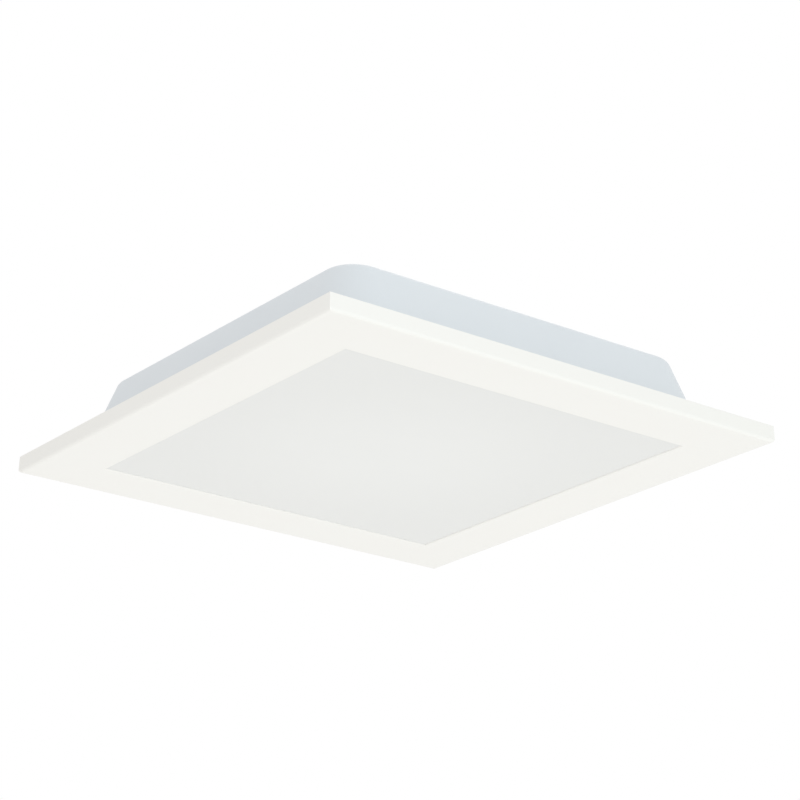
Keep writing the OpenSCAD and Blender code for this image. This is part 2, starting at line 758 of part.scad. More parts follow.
module transformer() color(winding_yellow) near_end(transformer_at) {
    window = [core[0] - 2 * core_legs[0], core[1] + 2 * over, core[2] - 2 * core_legs[1]];
    color(dark) difference() {
        block(core, bobbin_t);
        block(window, bobbin_t + core_legs[1]);
    }
    block([window[0], core[1] - 2 * coil_out, window[2]], bobbin_t + core_legs[1]);
    block([core[0] - 2 * bobbin_t, core[1] - 2 * bobbin_in, bobbin_t], 0);
}

module filter_choke() color(dark) far_end(choke_at) {
    base_t = choke_base[2];
    block(choke_base, 0);
    rod(choke_core_r, base_t, choke_h);
    rod(choke_r, base_t, base_t + choke_disc_t);
    rod(choke_r, choke_h - choke_disc_t, choke_h);
    rod(choke_wound_r, base_t + choke_disc_t, choke_h - choke_disc_t);
}

module can(r, h) {
    rod(r, 0, h - can_edge);
    translate([0, 0, h - can_edge]) cylinder(h = can_edge, r1 = r, r2 = r - can_edge);
}

module capacitors() color(sleeve_blue) for (c = cans) near_end(c) can(c[2], c[3]);

module filter_capacitor() color(film_yellow) far_end(film_at) block(film_size, 0);

module rectifier() color(dark) far_end(rectifier_at) block(rectifier_size, 0);

module power_transistor() color(dark) near_end(transistor_at) {
    block(transistor_size, pin_l);
    for (x = [-pin_pitch, 0, pin_pitch]) translate([x, 0, 0]) block([pin_w, pin_t, pin_l], 0);
}

module fuse() color(ceramic) far_end(fuse_at) {
    translate([0, 0, fuse_r + bite]) rod_x(fuse_r, -fuse_l / 2, fuse_l / 2);
    for (x = [-1, 1]) translate([x * (fuse_l / 2 - pin_t), 0, 0]) block([pin_t, pin_t, fuse_r], 0);
}

module output_socket() color(tray_white)
    translate([lead_x, board_y0 + socket_edge + socket_size[1] / 2, board_top])
    difference() {
        block(socket_size, 0);
        for (s = [-1, 1]) translate([s * wire_gap, 0, socket_z - board_top])
            rod_y(wire_r + bite, -socket_size[1] / 2 - over, socket_in - socket_size[1] / 2 - socket_edge);
    }

// Two wires from the driver's socket down through the pan to the strips' connector
module led_lead() for (s = [-1, 1]) color(s < 0 ? dark : red)
    translate([lead_x + s * wire_gap, lead_y, 0]) {
        rod(wire_r, tape_z + socket_h - plug_d, socket_z);
        translate([0, 0, socket_z]) sphere(wire_r);
        translate([0, 0, socket_z]) rod_y(wire_r, 0, board_y0 + socket_in - lead_y);
    }

module lead_grommet() color(rubber_grey) translate([lead_x, lead_y, 0]) difference() {
    union() {
        rod(grommet_r, inner_z - grommet_lip, floor_z + grommet_lip);
        rod(grommet_flange_r, inner_z - grommet_lip, inner_z);
        rod(grommet_flange_r, floor_z, floor_z + grommet_lip);
    }
    for (s = [-1, 1]) translate([s * wire_gap, 0, 0])
        rod(wire_r + bite, inner_z - grommet_lip - over, floor_z + grommet_lip + over);
}

// Terminals

// Two wires from the terminals through the partition, over the board's edge and down to it
module supply_wires() for (s = [-1, 1]) color(s < 0 ? brown : blue)
    translate([case_x + s * pole_x, 0, 0]) {
        rise = board_y1 + wire_rise_out;
        down = board_y1 - wire_drop_in;
        bend = board_top + wire_bend_h;
        translate([0, 0, wire_hole_z]) rod_y(wire_r, rise, block_y0 + wire_in);
        translate([0, rise, wire_hole_z]) sphere(wire_r);
        translate([0, rise, 0]) rod(wire_r, wire_hole_z, bend);
        translate([0, rise, bend]) sphere(wire_r);
        translate([0, 0, bend]) rod_y(wire_r, down, rise);
        translate([0, down, bend]) sphere(wire_r);
        translate([0, down, 0]) rod(wire_r, board_top, bend);
    }

module terminal_block() color(terminal_grey) difference() {
    box(case_x - block_w / 2, case_x + block_w / 2, block_y0, block_y1, floor_z, floor_z + block_h);
    for (s = [-1, 1]) translate([case_x + s * pole_x, 0, 0]) {
        box(-lever_w / 2 - gap, lever_w / 2 + gap, block_y0 + block_wall, block_y1 + over,
            slot_z, floor_z + block_h + over);
        translate([0, 0, wire_hole_z]) rod_y(wire_hole_r, block_y1 - wire_hole_l, block_y1 + over);
        translate([0, 0, wire_hole_z]) rod_y(wire_r + fit, block_y0 - over, block_y0 + rear_hole_l);
        translate([0, lever_y, lever_z])
            rod_x(trunnion_r + running, -lever_w / 2 - gap - trunnion_l, lever_w / 2 + gap + trunnion_l);
    }
}

module lever(x) color(lever_grey) translate([x, lever_y, lever_z]) {
    rod_x(lever_r, -lever_w / 2, lever_w / 2);
    rod_x(trunnion_r, -lever_w / 2 - trunnion_l, lever_w / 2 + trunnion_l);
    lever_top = lever_low + lever_t;
    box(-lever_w / 2, lever_w / 2, -lever_arm, 0, lever_low, lever_top);
    box(-lever_w / 2, lever_w / 2, -lever_arm, -lever_arm + lever_tab[0],
        lever_top - root, lever_top + lever_tab[1]);
}

module live_lever() lever(case_x - pole_x);
module neutral_lever() lever(case_x + pole_x);

module cable_grommet() color(rubber_grey) translate([case_x, 0, entry_z]) difference() {
    union() {
        rod_y(entry_hole_r - fit, case_y1 - case_wall - entry_lip, case_y1 + entry_lip);
        rod_y(entry_hole_r + entry_lip, case_y1 - case_wall - entry_lip, case_y1 - case_wall);
        rod_y(entry_hole_r + entry_lip, case_y1, case_y1 + entry_lip);
    }
    rod_y(cable_bore_r, case_y1 - case_wall - entry_lip - over, case_y1 + entry_lip + over);
}

module cable_clamp() color(case_grey) difference() {
    rounded_box(case_x - clamp_l / 2, case_x + clamp_l / 2, clamp_y - clamp_w / 2, clamp_y + clamp_w / 2,
                clamp_seat, clamp_seat + clamp_t, clamp_r);
    translate([case_x, 0, entry_z]) rod_y(cable_bore_r, clamp_y - clamp_w, clamp_y + clamp_w);
    for (s = [-1, 1]) translate([case_x + s * clamp_post_x, clamp_y, 0])
        rod(small_screw[0] + loose, clamp_seat - over, clamp_seat + clamp_t + over);
}

module clamp_screws() color(zinc) for (s = [-1, 1])
    translate([case_x + s * clamp_post_x, clamp_y, clamp_seat + clamp_t])
        screw(small_screw, clamp_t + clamp_grip);

module terminal_cover() color(case_grey) difference() {
    union() {
        rounded_box(case_x0, case_x1, part_y0 + case_wall / 2 + cover_gap, case_y1,
                    hinge_z, case_top, cover_r);
        translate([hinge_x, 0, hinge_z])
            rod_y(barrel_r, knuckle_0 + knuckle_l + hinge_gap, knuckle_1 - hinge_gap);
        box(hinge_x, case_x0 + hinge_leaf, knuckle_0 + knuckle_l + hinge_gap, knuckle_1 - hinge_gap,
            hinge_z, case_top);
        box(case_x1 - root, case_x1 + slack + tongue_t, case_y1 - room_l / 2 - tongue_w / 2,
            case_y1 - room_l / 2 + tongue_w / 2, hinge_z, case_top);
        box(case_x1 + slack, case_x1 + slack + tongue_t, case_y1 - room_l / 2 - tongue_w / 2,
            case_y1 - room_l / 2 + tongue_w / 2, hinge_z - tongue_l, hinge_z + root);
    }
    translate([hinge_x, 0, hinge_z]) rod_y(hinge_pin_r + running, knuckle_0, knuckle_1 + knuckle_l);
}

module cover_hinge_pin() color(steel) translate([hinge_x, 0, hinge_z])
    rod_y(hinge_pin_r, knuckle_0 - hinge_pin_out, knuckle_1 + knuckle_l + hinge_pin_out);

// Spring clips: drawn for the right side, where +Y is outwards, and turned half round for the left

module clip_screw_places()
    for (a = [0, 180]) rotate(a) for (x = [-1, 1])
        translate([x * clip_screw_x, clip_y + clip_screw_out, 0]) children();

module at_pin() translate([0, clip_y, clip_pin_z]) children();

module bracket_ear() {
    foot = ear_foot[1] - clip_pin_h;
    polygon([[-ear_foot[0], -clip_pin_h], [ear_foot[0], -clip_pin_h], [ear_foot[0], foot], ear_neck,
             [-ear_neck[0], ear_neck[1]], [-ear_foot[0], foot]]);
    circle(ear_r);
}

module clip_bracket() color(zinc) difference() {
    union() {
        rounded_box(-bracket_half, bracket_half, clip_y - bracket_l / 2, clip_y + bracket_l / 2,
                    back_z, back_z + bracket_t, bracket_r);
        at_pin() for (x = [-bracket_half, bracket_half - bracket_t]) along_x(x, x + bracket_t) bracket_ear();
    }
    at_pin() rod_x(clip_pin_r + press, -bracket_half - over, bracket_half + over);
    for (x = [-1, 1]) translate([x * clip_screw_x, clip_y + clip_screw_out, 0])
        rod(small_screw[0] + loose, back_z - over, back_z + bracket_t + over);
}

module clip_pin() color(steel) at_pin() {
    rod_x(clip_pin_r, -bracket_half - pin_head[0], bracket_half + pin_head[0]);
    rod_x(clip_pin_r + pin_head[1], bracket_half, bracket_half + pin_head[0]);
    rod_x(clip_pin_r + pin_swage, -bracket_half - pin_head[0], -bracket_half);
}

// The arm in its own plane: p runs inwards from the pin along the first leg, q is the side that looks up
module arm_plane() at_pin() rotate([stow, 0, 0]) mirror([0, 1, 0]) children();

module strap(w0, w1, length)
    translate([0, 0, -strap_t / 2]) linear_extrude(strap_t)
        polygon([[-w0 / 2, 0], [w0 / 2, 0], [w1 / 2, length], [-w1 / 2, length]]);

module clip_arm() color(steel) arm_plane() difference() {
    union() {
        for (x = [-arm_w / 2, arm_w / 2 - strap_t]) along_x(x, x + strap_t) {
            circle(ear_r);
            translate([0, -cheek[1] / 2]) square(cheek);
        }
        translate([0, strap_start, 0]) strap(arm_w, knee_w, arm_knee - strap_start);
        translate([0, arm_knee, 0]) rod_x(strap_t / 2, -knee_w / 2, knee_w / 2);
        translate([0, arm_knee, 0]) rotate([knee_bend, 0, 0]) strap(knee_w, tip_w, arm_reach);
    }
    rod_x(clip_pin_r + running, -arm_w, arm_w);
    translate([0, arm_knee, 0]) rotate([knee_bend, 0, 0]) translate([0, 0, -over])
        linear_extrude(2 * over) {
            translate([-arm_slot[0] / 2, arm_slot_in]) square(arm_slot);
            for (y = [0, arm_slot[1]]) translate([0, arm_slot_in + y]) circle(arm_slot[0] / 2);
        }
}

module clip_sleeve() color(rubber_grey) arm_plane() translate([0, arm_knee, 0]) rotate([knee_bend, 0, 0])
    difference() {
        translate([0, arm_reach + sleeve_out, 0]) {
            translate([-sleeve_w / 2, -sleeve_l, -sleeve_t / 2])
                cube([sleeve_w, sleeve_l - sleeve_t / 2, sleeve_t]);
            translate([0, -sleeve_t / 2, 0]) rod_x(sleeve_t / 2, -sleeve_w / 2, sleeve_w / 2);
        }
        translate([0, 0, -strap_t / 2]) linear_extrude(strap_t) polygon([
            [-knee_w / 2, 0], [knee_w / 2, 0], [tip_w / 2, arm_reach], [-tip_w / 2, arm_reach]
        ]);
    }

// Torsion spring: one leg on the bracket, a coil round the pin, the other leg under the folded arm

// A point beside the folded arm: p from the pin along its first leg, q above its middle
function beside_arm(x, p, q) = [x, -p * cos(stow) - q * sin(stow), -p * sin(stow) + q * cos(stow)];

// The coil starts and ends at its lowest point, where the wire runs outwards
coil_half = spring_turns * coil_pitch / 2;
under_arm = -strap_t / 2 - wire_d / 2 - rest;
on_bracket = -clip_pin_h + bracket_t + wire_d / 2 + rest;
arm_leg = [3.5, 11, 16];     // where the leg under the arm leaves the coil, is straight, and ends
foot_leg = [3, 5, 7];        // the same for the leg on the bracket
foot_leg_rise = 0.7;         // of that leg where it leaves the coil
leg_aside = [0.2, 0.3, 0.4]; // of the legs past the coil's ends
coil_path = [for (i = [0 : spring_turns * rings_per_turn]) let (a = i * 360 / rings_per_turn - 90)
    [-coil_half + i * coil_pitch / rings_per_turn, coil_r * cos(a), coil_r * sin(a)]];
spring_path = concat([beside_arm(-coil_half - leg_aside[2], arm_leg[2], under_arm),
                      beside_arm(-coil_half - leg_aside[2], arm_leg[1], under_arm),
                      beside_arm(-coil_half - leg_aside[0], arm_leg[0], -coil_r)],
                     coil_path,
                     [[coil_half + leg_aside[0], foot_leg[0], on_bracket + foot_leg_rise],
                      [coil_half + leg_aside[1], foot_leg[1], on_bracket],
                      [coil_half + leg_aside[1], foot_leg[2], on_bracket]]);

function unit(v) = v / norm(v);
function heading(path, i) = let (n = len(path))
    unit(path[min(i + 1, n - 1)] - path[max(i - 1, 0)]);
function ring(path, i, r, sides) = let (t = heading(path, i), u = unit(cross(t, [1, 0, 0])), v = cross(t, u))
    [for (k = [0 : sides - 1]) path[i] + r * (cos(360 * k / sides) * u + sin(360 * k / sides) * v)];

// Closed tube of triangles along a path
module tube(path, r, sides) {
    n = len(path);
    points = [for (i = [0 : n - 1]) each ring(path, i, r, sides)];
    walls = [for (i = [0 : n - 2], k = [0 : sides - 1])
        let (a = i * sides + k, b = i * sides + (k + 1) % sides)
        each [[a, b, b + sides], [a, b + sides, a + sides]]];
    first = [for (k = [1 : sides - 2]) [0, k + 1, k]];
    last = [for (k = [1 : sides - 2]) [(n - 1) * sides, (n - 1) * sides + k, (n - 1) * sides + k + 1]];
    polyhedron(points, concat(walls, first, last));
}

least_gap = min([for (i = [0 : len(coil_path) - 1], j = [i + 5 : len(coil_path) - 1])
    norm(coil_path[i] - coil_path[j])]) - wire_d;
echo(least_gap_of_the_spring_to_itself = least_gap);

module clip_spring() color(steel) at_pin() tube(spring_path, wire_d / 2, wire_sides);

module left() rotate(180) children();

module right_clip_bracket() clip_bracket();
module right_clip_pin() clip_pin();
module right_clip_spring() clip_spring();
module right_clip_arm() clip_arm();
module right_clip_sleeve() clip_sleeve();
module left_clip_bracket() left() clip_bracket();
module left_clip_pin() left() clip_pin();
module left_clip_spring() left() clip_spring();
module left_clip_arm() left() clip_arm();
module left_clip_sleeve() left() clip_sleeve();

module clip_screws() color(zinc)
    clip_screw_places() translate([0, 0, back_z + bracket_t]) screw(small_screw, bracket_t + clip_grip);

front_frame();
diffuser();
diffuser_seal();
reflector_tray();
tray_screws();
led_lenses();
led_chips();
led_strips();
strip_links();
strip_connector();
thermal_tapes();
heat_spreader();
spreader_screws();
rear_pan();
pan_seal();
pan_screws();
driver_case();
driver_cover();
cover_screws();
driver_screws();
driver_board();
transformer();
filter_choke();
capacitors();
filter_capacitor();
rectifier();
power_transistor();
fuse();
output_socket();
led_lead();
lead_grommet();
supply_wires();
terminal_block();
live_lever();
neutral_lever();
cable_grommet();
cable_clamp();
clamp_screws();
terminal_cover();
cover_hinge_pin();
left_clip_bracket();
left_clip_pin();
left_clip_spring();
left_clip_arm();
left_clip_sleeve();
right_clip_bracket();
right_clip_pin();
right_clip_spring();
right_clip_arm();
right_clip_sleeve();
clip_screws();
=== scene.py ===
# %% [markdown]
# # A recessed LED panel light
#
# A square light for a cut-out in a ceiling: a flat moulded frame round an opal diffuser, a deep tapered
# pan behind it, a driver case on the pan's back, and two spring clips that hold the ceiling board.
# The photo shows it from below and in front of one corner, so its face, two sides of its frame and two
# walls of its pan are seen. Nearly all of it is white plastic, and what tells the parts apart is small:
# how warm or cool the white is, how soft the gloss, and how the edges catch the light.
#
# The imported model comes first. It fixes where every part is, and nothing here moves it.

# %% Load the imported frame
import json
import math

import bmesh
import bpy
from mathutils import Matrix, Vector


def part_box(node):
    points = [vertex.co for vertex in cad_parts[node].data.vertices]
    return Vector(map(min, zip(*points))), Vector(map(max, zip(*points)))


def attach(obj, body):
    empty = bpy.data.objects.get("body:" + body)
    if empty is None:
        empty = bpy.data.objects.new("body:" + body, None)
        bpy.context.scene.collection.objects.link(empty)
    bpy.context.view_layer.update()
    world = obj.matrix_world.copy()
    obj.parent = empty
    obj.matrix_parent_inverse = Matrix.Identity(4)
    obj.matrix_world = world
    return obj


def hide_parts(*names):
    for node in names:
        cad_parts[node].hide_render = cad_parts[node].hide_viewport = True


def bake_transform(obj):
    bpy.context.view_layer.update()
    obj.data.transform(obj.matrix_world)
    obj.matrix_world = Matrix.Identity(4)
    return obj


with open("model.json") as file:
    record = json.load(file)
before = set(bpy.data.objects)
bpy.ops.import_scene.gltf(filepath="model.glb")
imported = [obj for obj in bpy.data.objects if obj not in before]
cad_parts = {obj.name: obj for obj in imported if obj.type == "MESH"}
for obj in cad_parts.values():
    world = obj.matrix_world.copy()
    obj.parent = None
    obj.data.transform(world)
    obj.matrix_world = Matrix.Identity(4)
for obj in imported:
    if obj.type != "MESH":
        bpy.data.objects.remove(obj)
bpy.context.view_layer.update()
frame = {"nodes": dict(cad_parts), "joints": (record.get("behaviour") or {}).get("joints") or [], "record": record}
print("CAD nodes:", len(frame["nodes"]))

# %% [markdown]
# ## Sizes
#
# Everything is in metres. A few sizes are read off the frame, so that a new pack carries them along, and
# the rest are the real sizes of this light in millimetres, turned to metres by one short function.

# %% Sizes that several steps use
def mm(size):
    return size / 1000


face_low, face_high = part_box("front_frame")
pan_low, pan_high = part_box("rear_pan")
side = face_high.x - face_low.x
seat_z = face_high.z
back_z = pan_high.z
print(f"side {side * 1000:.1f} mm, ceiling seat {seat_z * 1000:.1f} mm, pan's back {back_z * 1000:.1f} mm")

# %% [markdown]
# ## The camera
#
# The photo was taken from 52.6 degrees round from the front side and 21 degrees below the light, through a
# long lens, which keeps the square nearly free of perspective. The picture's middle isn't the light's
# middle, so the camera is moved sideways in its own plane instead of being turned.

# %% Camera
AZIMUTH, ELEVATION, ROLL = (math.radians(angle) for angle in (52.603, -20.971, 0.281))
DISTANCE, ASIDE, ABOVE = 4.6187 * side, -0.0194 * side, -0.1078 * side
LENS, SENSOR = 112.2, 36.0
NEAREST_SEEN = 0.01

back = Vector((math.sin(AZIMUTH) * math.cos(ELEVATION), -math.cos(AZIMUTH) * math.cos(ELEVATION),
               math.sin(ELEVATION)))
level = Vector((math.cos(AZIMUTH), math.sin(AZIMUTH), 0))
upright = back.cross(level)
right = math.cos(ROLL) * level + math.sin(ROLL) * upright
up = math.cos(ROLL) * upright - math.sin(ROLL) * level

scene = bpy.context.scene
bpy.ops.object.camera_add()
camera = bpy.context.object
camera.name = "camera"
camera.data.lens = LENS
camera.data.sensor_width = SENSOR
camera.data.clip_start = NEAREST_SEEN
stand = Matrix((right, up, back)).transposed().to_4x4()
stand.translation = back * DISTANCE - right * ASIDE - up * ABOVE
camera.matrix_world = stand
scene.camera = camera
scene.view_settings.view_transform = "Standard"
print("camera at", [round(c, 3) for c in camera.location])

# %% [markdown]
# ## Colours and nodes
#
# Colours are written as they look on a screen. Blender works with linear light, so one function turns each
# hex value to linear. One more adds a node with its settings and its links, which keeps every material
# below as short as its idea.

# %% Helpers for materials
def linear(colour):
    parts = [int(colour[i:i + 2], 16) / 255 for i in (1, 3, 5)]
    return tuple(c / 12.92 if c <= 0.04045 else ((c + 0.055) / 1.055) ** 2.4 for c in parts) + (1.0,)


def add_node(tree, kind, settings=None, inputs=None):
    node = tree.nodes.new(kind)
    for name, value in (settings or {}).items():
        setattr(node, name, value)
    for name, value in (inputs or {}).items():
        if isinstance(value, bpy.types.NodeSocket):
            tree.links.new(value, node.inputs[name])
        else:
            node.inputs[name].default_value = value
    return node


def new_material(name):
    material = bpy.data.materials.new(name)
    material.use_nodes = True
    material.node_tree.nodes.clear()
    return material, material.node_tree


print("a mid grey is", round(linear("#808080")[0], 3), "in linear light")

# %% [markdown]
# ## Moulded plastics
#
# Injection-moulded polycarbonate has a satin skin: the tool's surface is blasted, so the part carries a
# fine, even grain a few tenths of a millimetre across, which spreads the highlights. Where the melt
# cooled slower the gloss differs a little, over some centimetres. So a moulded plastic gets three
# patterns: the grain as bump, a slow change of roughness, and a colour that drifts by a shade. Pictures of
# plastic could be wrapped round the parts instead, but noise on Object coordinates needs no wrapping and
# keeps its real size on every part. Nearly all values of a noise lie between 0.3 and 0.7, so that span is
# what the roughness is mapped from.

# %% Moulded plastic
NOISE_LOW, NOISE_HIGH = 0.3, 0.7
GLOSS_DRIFT = 0.04
SCATTER = mm(3)                      # how far light travels inside the opal sheet
PAINTED_SHADE_FROM, PAINTED_SHADE_TO = mm(15), mm(95)    # where the painted shade towards the opal's rim starts and where it ends


def moulded_plastic(name, colour, shade, roughness, grain=0.35, depth=0.02, drift=40, ior=1.58, glow=0.0,
                    rim_shade_colour=None):
    """grain and drift are the sizes of the fine and the slow pattern, and depth that of the grain, in mm.
    The last argument is a darker colour, painted shade, towards which the colour goes away from the middle of the
    light's face."""
    material, tree = new_material(name)
    place = add_node(tree, "ShaderNodeTexCoord").outputs["Object"]
    slow = add_node(tree, "ShaderNodeTexNoise", inputs={
        "Vector": place, "Scale": 1 / mm(drift), "Detail": 2.0})
    fine = add_node(tree, "ShaderNodeTexNoise", inputs={
        "Vector": place, "Scale": 1 / mm(grain), "Detail": 1.0})
    tint = add_node(tree, "ShaderNodeMix", {"data_type": "RGBA"}, {"Factor": slow.outputs["Fac"]})
    tint.inputs[6].default_value = linear(colour)
    tint.inputs[7].default_value = linear(shade)
    # Painted shade: away from the middle of the light's face, the colour darkens towards a second, darker colour.
    if rim_shade_colour:
        away = add_node(tree, "ShaderNodeVectorMath", {"operation": "LENGTH"}, {0: place})
        outer = add_node(tree, "ShaderNodeMapRange", {"interpolation_type": "SMOOTHSTEP"}, {
            "Value": away.outputs["Value"], "From Min": PAINTED_SHADE_FROM, "From Max": PAINTED_SHADE_TO})
        body_tint, tint = tint, add_node(tree, "ShaderNodeMix", {"data_type": "RGBA"},
                                         {"Factor": outer.outputs["Result"]})
        tree.links.new(body_tint.outputs[2], tint.inputs[6])
        tint.inputs[7].default_value = linear(rim_shade_colour)
    gloss = add_node(tree, "ShaderNodeMapRange", inputs={
        "Value": slow.outputs["Fac"], "From Min": NOISE_LOW, "From Max": NOISE_HIGH,
        "To Min": roughness - GLOSS_DRIFT, "To Max": roughness + GLOSS_DRIFT})
    bump = add_node(tree, "ShaderNodeBump", inputs={
        "Height": fine.outputs["Fac"], "Strength": 0.25, "Distance": mm(depth)})
    shader = add_node(tree, "ShaderNodeBsdfPrincipled", inputs={
        "Base Color": tint.outputs[2], "Roughness": gloss.outputs["Result"], "Normal": bump.outputs["Normal"],
        "IOR": ior})
    if glow:
        shader.inputs["Subsurface Weight"].default_value = glow
        shader.inputs["Subsurface Radius"].default_value = (SCATTER, SCATTER, SCATTER)
        shader.inputs["Subsurface Scale"].default_value = 1.0
    add_node(tree, "ShaderNodeOutputMaterial", inputs={"Surface": shader.outputs[0]})
    return material


print("moulded plastic: grain, slow gloss and a drifting shade")

# %% [markdown]
# ## The white plastics
#
# The frame is a warm white and the pan a cooler one: they are moulded from different batches. The pan's white is
# also set darker than its own tone, as painted shade for walls that face away from the light. The diffuser is opal
# polystyrene, which lets light into its surface, so it gets a little
# subsurface scattering and looks softer than the frame beside it. Every finish is kept under the slot that
# the imported record gives its nodes.

# %% Finishes of the white plastics
finish = {
    # Polycarbonate from a blasted tool: an even satin, whose highlights are soft patches without an edge.
    "frame_plastic": moulded_plastic("polycarbonate_warm_white", "#f3f2ed", "#f2f0eb", 0.42),
    # Opal sheet: duller than the frame, with painted shade darkening it towards its rim, and soft, as light goes
    # into it.
    "opal_plastic": moulded_plastic("polystyrene_opal", "#ebebe8", "#e9e9e6", 0.55, grain=0.25, glow=0.15,
                                    rim_shade_colour="#e6e6e3"),
    # The same polycarbonate from another batch: a shade cooler and a little duller, and darker still as painted
    # shade on walls that face away from the light.
    # Painted shade: the pan's colours are darker than its plastic's own tone, for the light that its walls miss.
    "pan_plastic": moulded_plastic("polycarbonate_cool_white", "#dce1e4", "#d9dee2", 0.46),
    # The reflector is filled with white pigment and looks like chalk, with hardly a highlight.
    "reflector_white": moulded_plastic("reflector_matt_white", "#f6f6f4", "#f4f4f2", 0.7),
    # ABS from a spark-eroded tool: its grain is coarser and deeper, so the case looks slightly sandy.
    "case_plastic": moulded_plastic("abs_eroded_white", "#e8e8e5", "#e4e4e1", 0.5, grain=0.5, depth=0.04),
    # Polished acrylic: small sharp highlights over each diode.
    "lens_plastic": moulded_plastic("acrylic_lens", "#eef0f2", "#e9ecef", 0.12, depth=0.002, ior=1.49),
}
print("white plastics:", len(finish))

# %% [markdown]
# ## The parts inside
#
# Under the covers are the usual finishes of an electronic driver. They show when the connection
# compartment is open, and they make the model whole when a part is taken off.

# %% Finishes of the parts inside
finish.update({
    # Phosphor in silicone: a dull yellow face on each diode.
    "phosphor": moulded_plastic("diode_phosphor", "#e9d25c", "#e3c94c", 0.5, grain=0.1),
    # White lacquer on the strips: smooth, with broad soft highlights.
    "board_white": moulded_plastic("white_solder_mask", "#f0f0ec", "#ecece8", 0.35),
    # Green lacquer over glass fabric, whose weave shows as a coarser grain.
    "board_green": moulded_plastic("green_solder_mask", "#1f6b45", "#1a5f3d", 0.3, grain=0.8),
    # Nylon, moulded smooth: near black with a clear sheen.
    "black_plastic": moulded_plastic("moulded_black_nylon", "#26272a", "#202124", 0.4),
    # Polyester film wound tight round the coils: flat and shiny.
    "winding_tape": moulded_plastic("polyester_tape", "#dfb23c", "#d2a431", 0.25, depth=0.004),
    # Shrunk film on the capacitors' cans: dark blue with a clear highlight along the can.
    "can_sleeve": moulded_plastic("shrunk_sleeve", "#343a58", "#2c314c", 0.25, depth=0.004),
    # Bare fired clay: dry and quite without gloss.
    "ceramic_tube": moulded_plastic("unglazed_ceramic", "#e3ded0", "#d8d2c2", 0.7, grain=0.2),
    # Polycarbonate from a polished tool: grey with crisp highlights.
    "terminal_plastic": moulded_plastic("polycarbonate_terminal_grey", "#d6d8da", "#cfd2d4", 0.25,
                                        depth=0.006),
})
print("with the parts inside:", len(finish))

# %% [markdown]
# ## Metals
#
# The clips are pressed from zinc-plated strip, the pins and springs are drawn wire, and the heat spreader
# is rolled aluminium. Rolling and drawing leave fine lines along the metal, so the noise is stretched along
# one axis, and it drives the roughness and a slight bump. An anisotropic shader could draw such lines too,
# but a pattern in the roughness can also be baked into a map. A metal's colour is its reflectance. The real
# lines are finer than a pixel, so they are drawn a quarter of a millimetre apart to show at all.

# %% Drawn, rolled and plated metal
LINE_PITCH = mm(0.25)
CLOUD_SIZE = mm(6)
SMOOTHER, ROUGHER = 0.08, 0.1


def worked_metal(name, colour, shade, roughness, along):
    """along stretches the lines: an axis with a small number is the way that the metal was worked."""
    material, tree = new_material(name)
    place = add_node(tree, "ShaderNodeTexCoord").outputs["Object"]
    turned = add_node(tree, "ShaderNodeMapping", inputs={"Vector": place, "Scale": along})
    lines = add_node(tree, "ShaderNodeTexNoise", inputs={
        "Vector": turned.outputs["Vector"], "Scale": 1 / LINE_PITCH, "Detail": 3.0})
    cloud = add_node(tree, "ShaderNodeTexNoise", inputs={
        "Vector": place, "Scale": 1 / CLOUD_SIZE, "Detail": 2.0})
    tint = add_node(tree, "ShaderNodeMix", {"data_type": "RGBA"}, {"Factor": cloud.outputs["Fac"]})
    tint.inputs[6].default_value = linear(colour)
    tint.inputs[7].default_value = linear(shade)
    gloss = add_node(tree, "ShaderNodeMapRange", inputs={
        "Value": lines.outputs["Fac"], "From Min": NOISE_LOW, "From Max": NOISE_HIGH,
        "To Min": roughness - SMOOTHER, "To Max": roughness + ROUGHER})
    bump = add_node(tree, "ShaderNodeBump", inputs={
        "Height": lines.outputs["Fac"], "Strength": 0.2, "Distance": mm(0.02)})
    shader = add_node(tree, "ShaderNodeBsdfPrincipled", inputs={
        "Base Color": tint.outputs[2], "Roughness": gloss.outputs["Result"], "Normal": bump.outputs["Normal"],
        "Metallic": 1.0})
    add_node(tree, "ShaderNodeOutputMaterial", inputs={"Surface": shader.outputs[0]})
    return material


finish.update({
    # Rolled sheet: pale, with soft lines along the rolling direction.
    "sheet_aluminium": worked_metal("rolled_aluminium", "#d2d4d6", "#c6c9cc", 0.35, along=(1, 0.04, 1)),
    # Zinc plate over pressed strip: bright, slightly blue, a little cloudy.
    "zinc_steel": worked_metal("zinc_plated_steel", "#c9ccd0", "#b9bcc2", 0.3, along=(1, 0.15, 1)),
    # Hard-drawn wire: darker, with a tight highlight along each turn.
    "spring_steel": worked_metal("drawn_spring_steel", "#b3b5b8", "#9fa1a5", 0.28, along=(0.1, 1, 1)),
})
print("with the metals:", len(finish))

# %% [markdown]
# ## Rubber and foam
#
# The clips' sleeves and the grommets are moulded rubber: dull, with almost no highlight and a dusty look
# where they are handled. The foam seals are open to the eye only at their edge, where cut cells show. A
# Voronoi pattern draws the pores and the cells, because it gives round ones of about one size.

# %% Rubber and foam
DUST_SIZE = mm(5)


